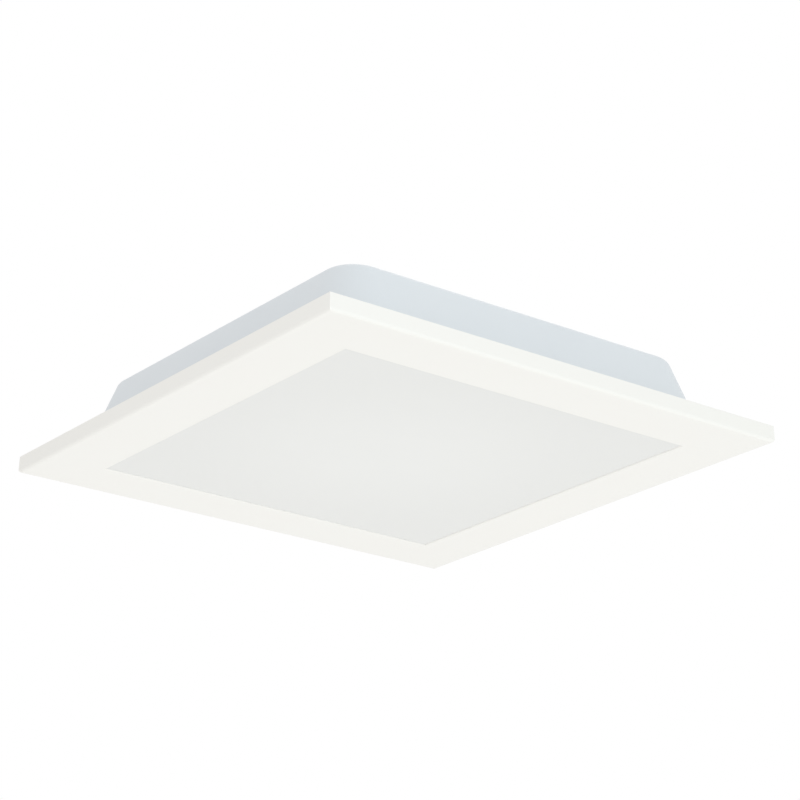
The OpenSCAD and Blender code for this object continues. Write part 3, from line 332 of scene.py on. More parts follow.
def rubber(name, colour, shade, cell, roughness):
    """cell is the size of the surface's pores, in mm."""
    material, tree = new_material(name)
    place = add_node(tree, "ShaderNodeTexCoord").outputs["Object"]
    dust = add_node(tree, "ShaderNodeTexNoise", inputs={
        "Vector": place, "Scale": 1 / DUST_SIZE, "Detail": 4.0})
    cells = add_node(tree, "ShaderNodeTexVoronoi", inputs={"Vector": place, "Scale": 1 / mm(cell)})
    tint = add_node(tree, "ShaderNodeMix", {"data_type": "RGBA"}, {"Factor": dust.outputs["Fac"]})
    tint.inputs[6].default_value = linear(colour)
    tint.inputs[7].default_value = linear(shade)
    bump = add_node(tree, "ShaderNodeBump", inputs={
        "Height": cells.outputs["Distance"], "Strength": 0.3, "Distance": mm(cell * 0.2)})
    shader = add_node(tree, "ShaderNodeBsdfPrincipled", inputs={
        "Base Color": tint.outputs[2], "Roughness": roughness, "Normal": bump.outputs["Normal"], "IOR": 1.52})
    add_node(tree, "ShaderNodeOutputMaterial", inputs={"Surface": shader.outputs[0]})
    return material


finish.update({
    # Heat-conducting tape: a soft, pale grey pad without a highlight.
    "thermal_pad": rubber("thermal_tape", "#d9d4cf", "#cdc8c2", 0.4, 0.8),
    # Moulded rubber: mid grey, its highlights spread until they are gone.
    "soft_rubber": rubber("moulded_rubber_grey", "#8b8d8f", "#7f8183", 0.3, 0.72),
    # Closed-cell foam: pale and dry, with half-millimetre cells.
    "foam_seal": rubber("closed_cell_foam", "#dcdcda", "#cfcfcc", 0.5, 0.9),
})
print("with rubber and foam:", len(finish))

# %% [markdown]
# ## Wires of two colours
#
# A pair of wires is one node. Two materials on its mesh could give it two colours, but the mesh of a node is
# left alone, so the colours are told apart by place: what lies left of the pair's middle is one colour, the
# rest the other. A few nodes have a finish that differs from their slot's, and they are listed by name: the
# wires in the case, the links between the strips, and the levers of the terminal block, which are orange so
# that a fitter finds them.

# %% Insulated wires, and finishes of single nodes
def wire_pair(name, node, left, right_colour):
    """Extruded vinyl: smooth, with a narrow highlight along each wire."""
    material, tree = new_material(name)
    low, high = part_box(node)
    place = add_node(tree, "ShaderNodeTexCoord").outputs["Object"]
    axes = add_node(tree, "ShaderNodeSeparateXYZ", inputs={"Vector": place})
    beyond = add_node(tree, "ShaderNodeMath", {"operation": "GREATER_THAN"}, {0: axes.outputs["X"]})
    beyond.inputs[1].default_value = (low.x + high.x) / 2
    tint = add_node(tree, "ShaderNodeMix", {"data_type": "RGBA"}, {"Factor": beyond.outputs[0]})
    tint.inputs[6].default_value = linear(left)
    tint.inputs[7].default_value = linear(right_colour)
    shader = add_node(tree, "ShaderNodeBsdfPrincipled", inputs={
        "Base Color": tint.outputs[2], "Roughness": 0.4, "IOR": 1.53})
    add_node(tree, "ShaderNodeOutputMaterial", inputs={"Surface": shader.outputs[0]})
    return material


finish["wire_sleeve"] = wire_pair("insulated_wires_red_black", "led_lead", "#27272a", "#b5322c")
own_finish = {
    "supply_wires": wire_pair("insulated_wires_brown_blue", "supply_wires", "#6b4a2e", "#3b5f8f"),
    "strip_links": finish["black_plastic"],
    # Nylon, moulded smooth: a clear orange with a soft sheen.
    "live_lever": moulded_plastic("lever_orange_nylon", "#e08a2c", "#d98022", 0.35, depth=0.01),
}
own_finish["neutral_lever"] = own_finish["live_lever"]
print("slots with a finish:", len(finish), "- nodes with one of their own:", len(own_finish))

# %% [markdown]
# ## Dressing the CAD nodes
#
# A node whose shape is right keeps it: to model it again could only lose its fit. Its mesh is loose
# triangles, so a live Weld modifier joins them. Moulds and presses leave no knife edges, so where the edges
# of a finish show, two more follow: Decimate turns the triangles of one flat face into one face, and Bevel
# rounds every sharp edge by a fraction of a millimetre, which is what catches the light along an edge.

# %% Materials and soft edges for the nodes
SAME_POINT = 1e-6                  # points closer than a thousandth of a millimetre are one
ONE_FACE = math.radians(0.5)       # faces that turn by less than this are one flat face
EDGE_ANGLE = 35                    # an edge that turns by more than this, in degrees, is a sharp one
slots = {row["node"]: row["material_slot"] for row in frame["record"]["subparts"]}
edge_radius = {"frame_plastic": 0.1, "opal_plastic": 0.12, "pan_plastic": 0.3, "case_plastic": 0.2,
               "zinc_steel": 0.12, "spring_steel": 0.12, "terminal_plastic": 0.15, "soft_rubber": 0.3}


def dress(name, node):
    slot = slots[name]
    node.data.materials.clear()
    node.data.materials.append(own_finish.get(name, finish[slot]))
    weld = node.modifiers.new("join", "WELD")
    weld.merge_threshold = SAME_POINT
    if slot in edge_radius:
        flat = node.modifiers.new("whole faces", "DECIMATE")
        flat.decimate_type = "DISSOLVE"
        flat.angle_limit = ONE_FACE
        bevel = node.modifiers.new("soft edges", "BEVEL")
        bevel.width = mm(edge_radius[slot])
        bevel.segments = 2
        bevel.limit_method = "ANGLE"
        bevel.angle_limit = math.radians(EDGE_ANGLE)
        bevel.harden_normals = True


for name, node in frame["nodes"].items():
    dress(name, node)
print("dressed:", len(frame["nodes"]))

# %% [markdown]
# ## Modelling as by hand
#
# The pieces below are modelled with Blender's own tools: a primitive is added at its real size and place,
# shaped in edit mode, and finished with modifiers that are applied at once. An operator works on whatever
# is selected, so a step starts with nothing selected, and one helper picks faces or edges by a test on
# their place. A block and a drum are the two starts that come back most often.

# %% Helpers for modelling: selecting and starting
NEAR = mm(0.01)    # places closer than this count as one
FLAT = 0.9995      # a flat face's normal reaches this along its axis, and that of a rounded edge doesn't
FACING = 0.9       # a face looks along an axis if its normal reaches this there
ALMOST = 0.98      # what lies beyond this share of a half size, or of a height, lies at its very end


def alone():
    if bpy.context.object and bpy.context.object.mode != "OBJECT":
        bpy.ops.object.mode_set(mode="OBJECT")
    bpy.ops.object.select_all(action="DESELECT")


def only(piece):
    alone()
    piece.hide_set(False)
    piece.select_set(True)
    bpy.context.view_layer.objects.active = piece


def pick(piece, kind, test):
    """Selects, in edit mode, the faces or edges whose middle and normal pass the test, and counts them."""
    bpy.ops.mesh.select_mode(type={"faces": "FACE", "edges": "EDGE"}[kind])
    bpy.ops.mesh.select_all(action="DESELECT")
    mesh = bmesh.from_edit_mesh(piece.data)
    chosen = 0
    for part in getattr(mesh, kind):
        if kind == "edges":
            middle, normal = (part.verts[0].co + part.verts[1].co) / 2, None
        else:
            middle, normal = part.calc_center_median(), part.normal
        if test(middle, normal):
            part.select_set(True)
            chosen += 1
    bmesh.update_edit_mesh(piece.data)
    return chosen


def place_into_mesh():
    bpy.ops.object.transform_apply(location=True, rotation=True, scale=True)


def block(size, centre):
    alone()
    bpy.ops.mesh.primitive_cube_add(size=1, location=centre, scale=size)
    place_into_mesh()
    return bpy.context.object


def drum(radius, length, centre, axis="Z", points=48):
    alone()
    turn = {"X": (0, math.pi / 2, 0), "Y": (math.pi / 2, 0, 0), "Z": (0, 0, 0)}[axis]
    bpy.ops.mesh.primitive_cylinder_add(vertices=points, radius=radius, depth=length, location=centre,
                                        rotation=turn)
    place_into_mesh()
    return bpy.context.object


print("helpers to select and to start with: ready")

# %% [markdown]
# ## Finishing a piece
#
# Three steps come back as often: the edges that are selected are rounded, a modifier is applied, and one solid is
# joined to another or cut out of it. The last helper closes each piece: its place goes into the mesh, its shading
# is made smooth, it gets its finish and its body, and the nodes that it stands for are hidden.

# %% Helpers for modelling: shaping and closing
def round_edges(width, segments):
    """Rounds the edges that are selected in edit mode."""
    bpy.ops.mesh.bevel(offset=width, offset_type="OFFSET", segments=segments, affect="EDGES", profile=0.5)


def apply_modifier(piece, kind, **settings):
    only(piece)
    modifier = piece.modifiers.new(kind.lower(), kind)
    for name, value in settings.items():
        setattr(modifier, name, value)
    bpy.ops.object.modifier_apply(modifier=modifier.name)


def soften(piece, width, from_angle=40, segments=2):
    """Rounds every edge that turns by more than from_angle, in degrees."""
    apply_modifier(piece, "BEVEL", width=width, segments=segments, limit_method="ANGLE",
                   angle_limit=math.radians(from_angle))


def combine(piece, other, operation):
    """Joins another solid to the piece, or cuts it out, and takes the other away."""
    apply_modifier(piece, "BOOLEAN", operation=operation, object=other, solver="EXACT")
    bpy.data.objects.remove(other)


def settle(piece, name, slot, body=None, replaces=(), angle=EDGE_ANGLE):
    """Puts the place into the mesh, smooths, gives the piece its finish and its body, and hides the nodes that it
    replaces.
    """
    only(piece)
    place_into_mesh()
    bpy.ops.object.shade_smooth_by_angle(angle=math.radians(angle))
    piece.name = name
    piece.data.materials.clear()
    piece.data.materials.append(finish[slot])
    if body:
        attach(piece, body)
    if replaces:
        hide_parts(*replaces)
    print(f"{name}: {len(piece.data.vertices)} points")


print("helpers to shape and to close: ready")

# %% [markdown]
# ## The rear pan
#
# The pan is one moulding: a square with rounded corners whose walls lean in by 22 degrees, and whose
# corners are therefore cones, tighter at the top than at the foot. An inset does just that: it moves an
# outline in by the same distance everywhere, so a rounded corner loses radius as it goes. Scaling would
# shrink the corners by a share instead, and the walls would lean unevenly there. The outline is a plane
# with its corners rounded, one inset with depth is the leaning wall, and a bevel rounds the top edge.
# A last, small inset keeps the shading of the rounded edge off the large flat back.

# %% Model the pan
PAN_DRAFT = math.radians(22)
PAN_FOOT_RADIUS = mm(25.44)    # leaves a corner of 13.2 mm at the top, where the walls have leaned in
PAN_WALL, PAN_EDGE = mm(1.8), mm(4)
FLAT_MARGIN = mm(0.5)    # inset of a large flat face inside a rounded edge, so that it shades flat
pan_half = pan_high.x
wall_height = back_z - seat_z
lean = wall_height * math.tan(PAN_DRAFT)

alone()
bpy.ops.mesh.primitive_plane_add(size=2 * pan_half, location=(0, 0, 0))
pan = bpy.context.object
bpy.ops.object.mode_set(mode="EDIT")
bpy.ops.mesh.select_all(action="SELECT")
bpy.ops.mesh.bevel(offset=PAN_FOOT_RADIUS, offset_type="OFFSET", segments=24, affect="VERTICES", profile=0.5)
bpy.ops.mesh.select_mode(type="FACE")
bpy.ops.mesh.select_all(action="SELECT")
bpy.ops.transform.translate(value=(0, 0, pan_low.z))
bpy.ops.mesh.extrude_region_move(TRANSFORM_OT_translate={"value": (0, 0, seat_z - pan_low.z)})
bpy.ops.mesh.inset(thickness=lean, depth=wall_height, use_even_offset=True)
pick(pan, "edges", lambda middle, normal: middle.z > back_z - NEAR)
round_edges(PAN_EDGE * math.tan((math.pi / 2 - PAN_DRAFT) / 2), 10)
pick(pan, "faces", lambda middle, normal: middle.z > back_z - NEAR and normal.z > FLAT)
bpy.ops.mesh.inset(thickness=FLAT_MARGIN)
pick(pan, "faces", lambda middle, normal: middle.z < pan_low.z + NEAR)
bpy.ops.mesh.delete(type="FACE")
bpy.ops.mesh.select_all(action="SELECT")
bpy.ops.mesh.normals_make_consistent(inside=False)
bpy.ops.object.mode_set(mode="OBJECT")
apply_modifier(pan, "SOLIDIFY", thickness=PAN_WALL, offset=-1, use_even_offset=True)
settle(pan, "pan_shell", "pan_plastic", "light", ["rear_pan"], angle=30)

# %% [markdown]
# ## The front frame
#
# The frame's outline, ribs, well and groove are right as the CAD node has them. What the photo adds is how
# softly the ring passes over into the diffuser: the mould rounds the opening's front edge by 0.7 mm. So a
# copy of the node's mesh is merged, its flat faces are made whole, the four edges of the opening get a wide
# bevel, and every other edge a narrow one. Weighted normals keep the ring flat in shade up to its edges.

# %% Model the front frame
OPENING = mm(85.5)        # half the opening in the frame's front
OPENING_ROUND, MOULD_ROUND = mm(0.7), mm(0.1)
AT_OPENING = mm(0.05)     # how near to the opening's line an edge lies to be one of its edges


def front_frame():
    piece = bpy.data.objects.new("front_frame_copy", frame["nodes"]["front_frame"].data.copy())
    scene.collection.objects.link(piece)
    only(piece)
    bpy.ops.object.mode_set(mode="EDIT")
    bpy.ops.mesh.select_all(action="SELECT")
    bpy.ops.mesh.remove_doubles(threshold=SAME_POINT)
    bpy.ops.mesh.dissolve_limited(angle_limit=ONE_FACE)
    found = pick(piece, "edges", lambda middle, normal: middle.z < NEAR
                 and abs(max(abs(middle.x), abs(middle.y)) - OPENING) < AT_OPENING)
    round_edges(OPENING_ROUND, 5)
    bpy.ops.object.mode_set(mode="OBJECT")
    soften(piece, MOULD_ROUND, EDGE_ANGLE)
    settle(piece, "moulded_front_frame", "frame_plastic", "light", ["front_frame"])
    apply_modifier(piece, "WEIGHTED_NORMAL", keep_sharp=True)
    print("edges round the opening:", found)


front_frame()

# %% [markdown]
# ## The opal diffuser
#
# The diffuser is one moulded sheet: a square that stands through the frame's lip, a flange behind the lip
# with rounded corners, and a dish behind, so that its wall is even. It fits the opening closely, and its
# face stands a little behind the ring, in the opening's rounded edge, which is why the photo shows hardly
# any line round it. A plain slab would look the same in the photo, but the sheet also has to be right when
# the frame is taken off. A block gives the square; its back is spread to the flange by an extrusion that
# is scaled, and an inset and a push from behind hollow it out.

# %% Model the diffuser
SET_BACK, LIP_GAP = mm(0.45), mm(0.04)
SHEET, FLANGE, FLANGE_CORNER = mm(1.8), mm(1.5), mm(8)
SHEET_CORNER, SHEET_EDGE = mm(0.8), mm(0.12)


def diffuser():
    low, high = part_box("diffuser")
    front_z = face_low.z + SET_BACK
    flange_z = high.z - FLANGE
    half, flange_half = OPENING - LIP_GAP, high.x
    sheet = block((2 * half, 2 * half, flange_z - front_z), (0, 0, (front_z + flange_z) / 2))
    bpy.ops.object.mode_set(mode="EDIT")
    pick(sheet, "faces", lambda middle, normal: normal.z > FACING)
    bpy.ops.mesh.extrude_region_move(TRANSFORM_OT_translate={"value": (0, 0, 0)})
    bpy.ops.transform.resize(value=(flange_half / half, flange_half / half, 1))
    bpy.ops.mesh.extrude_region_move(TRANSFORM_OT_translate={"value": (0, 0, FLANGE)})
    pick(sheet, "edges", lambda middle, normal: flange_z + FLANGE / 4 < middle.z < high.z - FLANGE / 4)
    round_edges(FLANGE_CORNER, 12)
    pick(sheet, "faces", lambda middle, normal: middle.z > high.z - NEAR)
    bpy.ops.mesh.inset(thickness=flange_half - half + SHEET, use_even_offset=True)
    bpy.ops.mesh.extrude_region_move(TRANSFORM_OT_translate={"value": (0, 0, front_z + SHEET - high.z)})
    pick(sheet, "edges", lambda middle, normal: abs(abs(middle.x) - half) < NEAR
         and abs(abs(middle.y) - half) < NEAR)
    round_edges(SHEET_CORNER, 4)
    pick(sheet, "edges", lambda middle, normal: middle.z < front_z + NEAR)
    round_edges(SHEET_EDGE, 3)
    pick(sheet, "faces", lambda middle, normal: middle.z < front_z + NEAR and normal.z < -FLAT)
    bpy.ops.mesh.inset(thickness=FLAT_MARGIN)
    bpy.ops.mesh.select_all(action="SELECT")
    bpy.ops.mesh.normals_make_consistent(inside=False)
    settle(sheet, "opal_diffuser", "opal_plastic", "light", ["diffuser"])


diffuser()

# %% [markdown]
# ## Screws
#
# The screws are pan-head screws with a cross recess, zinc plated. A CAD node draws them as short drums, and
# here each head gets its dome and a tapered cross. A head is a cylinder whose top edge is bevelled wide,
# and the recess is cut by a cross of two blocks that narrow towards their tips. Cutting is simpler than
# modelling the recess into the dome, whose faces don't line up with a cross. The shank is pushed out of the
# head's seat, and its end is bevelled.

# %% Model a screw
DOME, SHANK_END = 0.62, 0.4    # shares of the head's height and of the shank's radius
CROSS_LENGTH, CROSS_WIDTH = 1.15, 0.27    # shares of the head's radius
CROSS_DEPTH = 0.62    # share of the head's height
CROSS_TAPER = (0.45, 0.6, 1)


def tapered_bar(length, width, depth, top, turn):
    bar = block((length, width, 2 * depth), (0, 0, top))
    bpy.ops.object.mode_set(mode="EDIT")
    pick(bar, "faces", lambda middle, normal: normal.z < -FACING)
    bpy.ops.transform.resize(value=CROSS_TAPER)
    bpy.ops.object.mode_set(mode="OBJECT")
    bar.rotation_euler.z = turn
    only(bar)
    place_into_mesh()
    return bar


def screw(shank_r, head_r, head_h, length):
    """A screw whose head's seat is at z = 0."""
    piece = drum(head_r, head_h, (0, 0, head_h / 2), points=40)
    bpy.ops.object.mode_set(mode="EDIT")
    pick(piece, "edges", lambda middle, normal: middle.z > head_h * ALMOST
         and middle.xy.length > head_r * ALMOST)
    round_edges(head_h * DOME, 6)
    pick(piece, "faces", lambda middle, normal: normal.z < -FACING)
    bpy.ops.mesh.inset(thickness=head_r - shank_r)
    bpy.ops.mesh.extrude_region_move(TRANSFORM_OT_translate={"value": (0, 0, -length)})
    round_edges(shank_r * SHANK_END, 2)
    bpy.ops.object.mode_set(mode="OBJECT")
    for turn in (0, math.pi / 2):
        combine(piece, tapered_bar(head_r * CROSS_LENGTH, head_r * CROSS_WIDTH, head_h * CROSS_DEPTH, head_h,
                                   turn + math.pi / 4), "DIFFERENCE")
    return piece


print("a screw has a dome, a cross of two tapered bars and a bevelled shank")

# %% [markdown]
# ## Rows of screws
#
# One screw is modelled for each node and copied to its places: the node's box gives them, because its
# screws stand in the box's corners. The copies are joined, so that a row stays one piece, as its node is.

# %% Copy the screws to their places
def screws(name, node, shank_r, head_r, head_h, rows_y=2):
    low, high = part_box(node)
    seat = high.z - head_h
    original = screw(shank_r, head_r, head_h, seat - low.z)
    places_y = (low.y + head_r, high.y - head_r)[:rows_y]
    copies = []
    for x in (low.x + head_r, high.x - head_r):
        for y in places_y:
            only(original)
            bpy.ops.object.duplicate(linked=False)
            bpy.ops.transform.translate(value=(x, y, seat))
            copies.append(bpy.context.object)
    alone()
    for copy in copies:
        copy.select_set(True)
    bpy.context.view_layer.objects.active = copies[0]
    bpy.ops.object.join()
    joined = bpy.context.object
    bpy.data.objects.remove(original)
    settle(joined, name, "zinc_steel", "light", [node])


SMALL = [mm(size) for size in (1.1, 1.9, 1.3)]       # radius of the shank, radius and height of the head
MEDIUM = [mm(size) for size in (1.45, 2.7, 1.8)]
screws("pan_screw_set", "pan_screws", *MEDIUM)
screws("driver_screw_set", "driver_screws", *MEDIUM)
screws("cover_screw_set", "cover_screws", *SMALL)
screws("clip_screw_set", "clip_screws", *SMALL)
screws("clamp_screw_set", "clamp_screws", *SMALL, rows_y=1)

# %% [markdown]
# ## The clips' arms
#
# Each clip is pressed from zinc-plated strip: a bracket screwed to the pan, with two ears that hold the pin,
# and an arm that is bent at its knee and slotted, with a rubber sleeve over its tip. All three are modelled
# about the pin, for the right-hand side, lying level. The arm's strap starts as a plane: its far edge is
# narrowed, extruded for the second leg, and the crease between is bevelled into a bend. Solidify gives it
# its thickness, which stays even through the bend, as in a pressed strip and unlike in a bent block. Two
# ears are joined on, and the pin's hole and the slot are cut.

# %% Model a clip's arm
ARM_W, KNEE_W, TIP_W, ARM_KNEE, ARM_REACH, STRAP = (mm(size) for size in (22, 20, 13, 24, 35, 1))
STRAP_START, EAR_R, PIN_R, BRACKET, KNEE_GAP = (mm(size) for size in (4.4, 3.2, 1.5, 1, 0.3))
KNEE_BEND, KNEE_ROUND = math.radians(45), mm(1.5)
EAR_ROOT, EAR_ROOT_H = mm(8), mm(4)    # length and height of the block between an ear and the strap
SLOT_W, SLOT_L, SLOT_MIDDLE = mm(4), mm(15), mm(10.5)
SLOT_END = 0.495        # share of the slot's width: its ends are very nearly half round
ARM_PLAY = mm(0.05)
MIDLINE = mm(0.1)       # an edge that lies closer than this to a line is on it
PRESS_EDGE = mm(0.1)    # the soft edge of pressed strip, and of the sleeves


def to_second_leg(piece):
    """Moves a piece that was modelled level about the origin to the arm's second leg, beyond the knee."""
    only(piece)
    piece.rotation_euler.x = -KNEE_BEND
    piece.location.y = -ARM_KNEE
    place_into_mesh()


def arm_slot():
    cutter = block((SLOT_W, SLOT_L, SLOT_W), (0, -SLOT_MIDDLE, 0))
    bpy.ops.object.mode_set(mode="EDIT")
    pick(cutter, "edges", lambda middle, normal: abs(middle.z) < MIDLINE)
    round_edges(SLOT_W * SLOT_END, 10)
    bpy.ops.object.mode_set(mode="OBJECT")
    to_second_leg(cutter)
    return cutter


def clip_arm():
    alone()
    bpy.ops.mesh.primitive_plane_add(size=1, location=(0, -(STRAP_START + ARM_KNEE) / 2, 0))
    arm = bpy.context.object
    arm.scale = (ARM_W, ARM_KNEE - STRAP_START, 1)
    place_into_mesh()
    bpy.ops.object.mode_set(mode="EDIT")
    pick(arm, "edges", lambda middle, normal: middle.y < -ARM_KNEE * ALMOST)
    bpy.ops.transform.resize(value=(KNEE_W / ARM_W, 1, 1))
    leg = (0, -ARM_REACH * math.cos(KNEE_BEND), ARM_REACH * math.sin(KNEE_BEND))
    bpy.ops.mesh.extrude_edges_move(TRANSFORM_OT_translate={"value": leg})
    bpy.ops.transform.resize(value=(TIP_W / KNEE_W, 1, 1))
    pick(arm, "edges", lambda middle, normal: abs(middle.y + ARM_KNEE) < MIDLINE and abs(middle.x) < MIDLINE)
    round_edges(KNEE_ROUND, 6)
    bpy.ops.object.mode_set(mode="OBJECT")
    apply_modifier(arm, "SOLIDIFY", thickness=STRAP, offset=0, use_even_offset=True)
    for side_x in (-1, 1):
        at = side_x * (ARM_W - STRAP) / 2
        combine(arm, drum(EAR_R, STRAP, (at, 0, 0), "X"), "UNION")
        combine(arm, block((STRAP, EAR_ROOT, EAR_ROOT_H), (at, -EAR_ROOT / 2, 0)), "UNION")
    combine(arm, drum(PIN_R + ARM_PLAY, 2 * ARM_W, (0, 0, 0), "X"), "DIFFERENCE")
    combine(arm, arm_slot(), "DIFFERENCE")
    soften(arm, PRESS_EDGE)
    return arm


print(f"arm: {ARM_KNEE * 1000:.0f} mm to the knee and {ARM_REACH * 1000:.0f} mm beyond it")

# %% [markdown]
# ## The rubber sleeves
#
# A moulded sleeve over the arm's tip grips the ceiling board without marking it. It is a block with a
# rounded end. Five grooves on each face give it grip. One drum that an Array modifier repeats cuts them all
# alike, where five drums would be five cuts, and a flat pocket takes the strap.

# %% Model a sleeve
SLEEVE_MIDDLE, SLEEVE_L, SLEEVE_W, SLEEVE_H = (mm(size) for size in (29.5, 14, 16, 4))
GROOVES, GROOVE_PITCH, GROOVE_R, GROOVE_LIFT, FIRST_GROOVE = 5, mm(1.9), mm(0.55), mm(0.15), mm(4.5)
POCKET_W, POCKET_L, POCKET_PLAY, POCKET_SHIFT = (mm(size) for size in (15, 13, 0.04, 1))
SLEEVE_END = 0.48    # share of the sleeve's height: its outer end is nearly half round


def clip_sleeve():
    middle_y = -SLEEVE_MIDDLE
    sleeve = block((SLEEVE_W, SLEEVE_L, SLEEVE_H), (0, middle_y, 0))
    bpy.ops.object.mode_set(mode="EDIT")
    pick(sleeve, "edges", lambda middle, normal: middle.y < middle_y - SLEEVE_L / 2 * ALMOST
         and abs(middle.z) > SLEEVE_H / 2 * ALMOST)
    round_edges(SLEEVE_H * SLEEVE_END, 8)
    bpy.ops.object.mode_set(mode="OBJECT")
    for face in (-1, 1):
        groove = drum(GROOVE_R, 2 * SLEEVE_W,
                      (0, middle_y + FIRST_GROOVE, face * (SLEEVE_H / 2 + GROOVE_LIFT)), "X", 24)
        apply_modifier(groove, "ARRAY", count=GROOVES, use_relative_offset=False, use_constant_offset=True,
                       constant_offset_displace=(0, -GROOVE_PITCH, 0))
        combine(sleeve, groove, "DIFFERENCE")
    pocket = block((POCKET_W, POCKET_L, STRAP + POCKET_PLAY), (0, middle_y + POCKET_SHIFT, 0))
    combine(sleeve, pocket, "DIFFERENCE")
    soften(sleeve, PRESS_EDGE)
    to_second_leg(sleeve)
    return sleeve


print("grooves on each face of a sleeve:", GROOVES)

# %% [markdown]
# ## The clips' brackets
#
# A bracket is a plate with rounded corners and two ears. An ear is a block that narrows towards a drum
# round the pin. The pin's hole goes through both ears, and a screw's hole beside each ear goes through the
# plate. The plate could be cut out flat and its ears folded up, but joined solids keep the ears square and
# on the pin, and the soft edges at the end make one pressed part of them.

# %% Model a bracket
EAR_GAP, BRACKET_L, BRACKET_CORNER = mm(1), mm(15), mm(1.5)
EAR_FOOT, EAR_TAPER = mm(12), 0.45
EAR_RISE = mm(0.5)    # how far an ear's block reaches past the pin's middle
SCREW_HOLE_R, SCREW_HOLE_DEPTH, SCREW_X, SCREW_Y = (mm(size) for size in (1.35, 5, 9.9, 4.5))
BRACKET_PLAY = mm(0.02)


def clip_bracket(pin_height):
    half = ARM_W / 2 + EAR_GAP + BRACKET
    bracket = block((2 * half, BRACKET_L, BRACKET), (0, 0, BRACKET / 2 - pin_height))
    bpy.ops.object.mode_set(mode="EDIT")
    pick(bracket, "edges", lambda middle, normal: abs(middle.x) > half * ALMOST
         and abs(middle.y) > BRACKET_L / 2 * ALMOST)
    round_edges(BRACKET_CORNER, 6)
    bpy.ops.object.mode_set(mode="OBJECT")
    for side_x in (-1, 1):
        at = side_x * (half - BRACKET / 2)
        ear = block((BRACKET, EAR_FOOT, pin_height + EAR_RISE), (at, 0, (EAR_RISE - pin_height) / 2))
        bpy.ops.object.mode_set(mode="EDIT")
        pick(ear, "faces", lambda middle, normal: normal.z > FACING)
        bpy.ops.transform.resize(value=(1, EAR_TAPER, 1))
        bpy.ops.object.mode_set(mode="OBJECT")
        combine(bracket, ear, "UNION")
        combine(bracket, drum(EAR_R, BRACKET, (at, 0, 0), "X"), "UNION")
        combine(bracket, drum(SCREW_HOLE_R, SCREW_HOLE_DEPTH, (side_x * SCREW_X, SCREW_Y, -pin_height), "Z"),
                "DIFFERENCE")
    combine(bracket, drum(PIN_R + BRACKET_PLAY, 4 * half, (0, 0, 0), "X"), "DIFFERENCE")
    soften(bracket, PRESS_EDGE)
    return bracket


print(f"bracket: {(ARM_W + 2 * (EAR_GAP + BRACKET)) * 1000:.0f} mm over its ears")

# %% [markdown]
# ## Both clips in place
#
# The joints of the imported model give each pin's place. The arm and its sleeve are tilted to where the
# folded arm rests, with its knee just off the pan, and the whole clip is turned half round for the
# left-hand side. The bracket stays with the light, and the arm and the sleeve ride on the clip's own body.

# %% Place the clips
CLIP_NAMES = {"bracket": "pressed_bracket", "arm": "pressed_arm", "sleeve": "grip_sleeve"}


def stow_angle(pin_height):
    return math.asin((pin_height - KNEE_GAP - STRAP / 2) / ARM_KNEE)


def clip(side_name, pin, turn):
    pin_height = pin.z - back_z
    about_pin = Matrix.Translation(pin) @ Matrix.Rotation(turn, 4, "Z")
    folded = about_pin @ Matrix.Rotation(stow_angle(pin_height), 4, "X")
    own_body = f"{side_name}_clip"
    for what, piece, matrix, body in (("bracket", clip_bracket(pin_height), about_pin, "light"),
                                      ("arm", clip_arm(), folded, own_body),
                                      ("sleeve", clip_sleeve(), folded, own_body)):
        node = f"{side_name}_clip_{what}"
        piece.matrix_world = matrix
        settle(piece, f"{side_name}_{CLIP_NAMES[what]}", slots[node], body, [node])


pins = {joint["name"]: Vector(joint["pos_m"]) for joint in frame["joints"]}
clip("right", pins["right_clip_swing"], 0)
clip("left", pins["left_clip_swing"], math.pi)

# %% [markdown]
# ## Torsion springs
#
# Each clip has a torsion spring: eight turns of hard-drawn wire round the pin, one leg on the bracket and
# one under the arm. A Screw modifier could wind the coil, but its legs would then be pieces of their own.
# So one line holds the legs and the coil, worked out by a formula.

# %% The line of a spring's wire
WIRE_R, COIL_R, TURNS, COIL_PITCH = mm(0.6), mm(2.8), 8, mm(1.7)
POINTS_PER_TURN = 32
LEG_GAP = mm(0.05)    # between a leg and the strap or the bracket that it presses on


def spring_line(pin_height):
    """Points about the pin: x along it, y outwards, z up. Also half the coil's length."""
    stow = stow_angle(pin_height)
    under = -STRAP / 2 - WIRE_R - LEG_GAP
    on_bracket = -pin_height + BRACKET + WIRE_R + LEG_GAP
    half = TURNS * COIL_PITCH / 2

    def by_arm(x, along, over):
        return (x, -along * math.cos(stow) - over * math.sin(stow),
                -along * math.sin(stow) + over * math.cos(stow))

    # The rows give how far a point lies beyond the coil's end, how far out from the pin, and its height.
    arm_leg = ((mm(0.4), mm(16), under), (mm(0.4), mm(11), under), (mm(0.3), mm(6.5), -COIL_R * 0.75),
               (mm(0.15), mm(3.2), -COIL_R))
    bracket_leg = ((mm(0.15), mm(2.2), -COIL_R - mm(0.5)), (mm(0.3), mm(4.2), on_bracket + mm(0.15)),
                   (mm(0.3), mm(5.4), on_bracket), (mm(0.3), mm(7), on_bracket))
    line = [by_arm(-half - beyond, along, over) for beyond, along, over in arm_leg]
    for i in range(TURNS * POINTS_PER_TURN + 1):
        turn = 2 * math.pi * i / POINTS_PER_TURN - math.pi / 2
        line.append((-half + i * COIL_PITCH / POINTS_PER_TURN, COIL_R * math.cos(turn),
                     COIL_R * math.sin(turn)))
    line += [(half + beyond, out, height) for beyond, out, height in bracket_leg]
    return line, half


print("wire between two turns of a coil:", round((COIL_PITCH - 2 * WIRE_R) * 1000, 2), "mm apart")

# %% [markdown]
# ## The wire round the line
#
# A curve with depth is a round wire along its points, with caps on its ends, and it is then made a mesh.

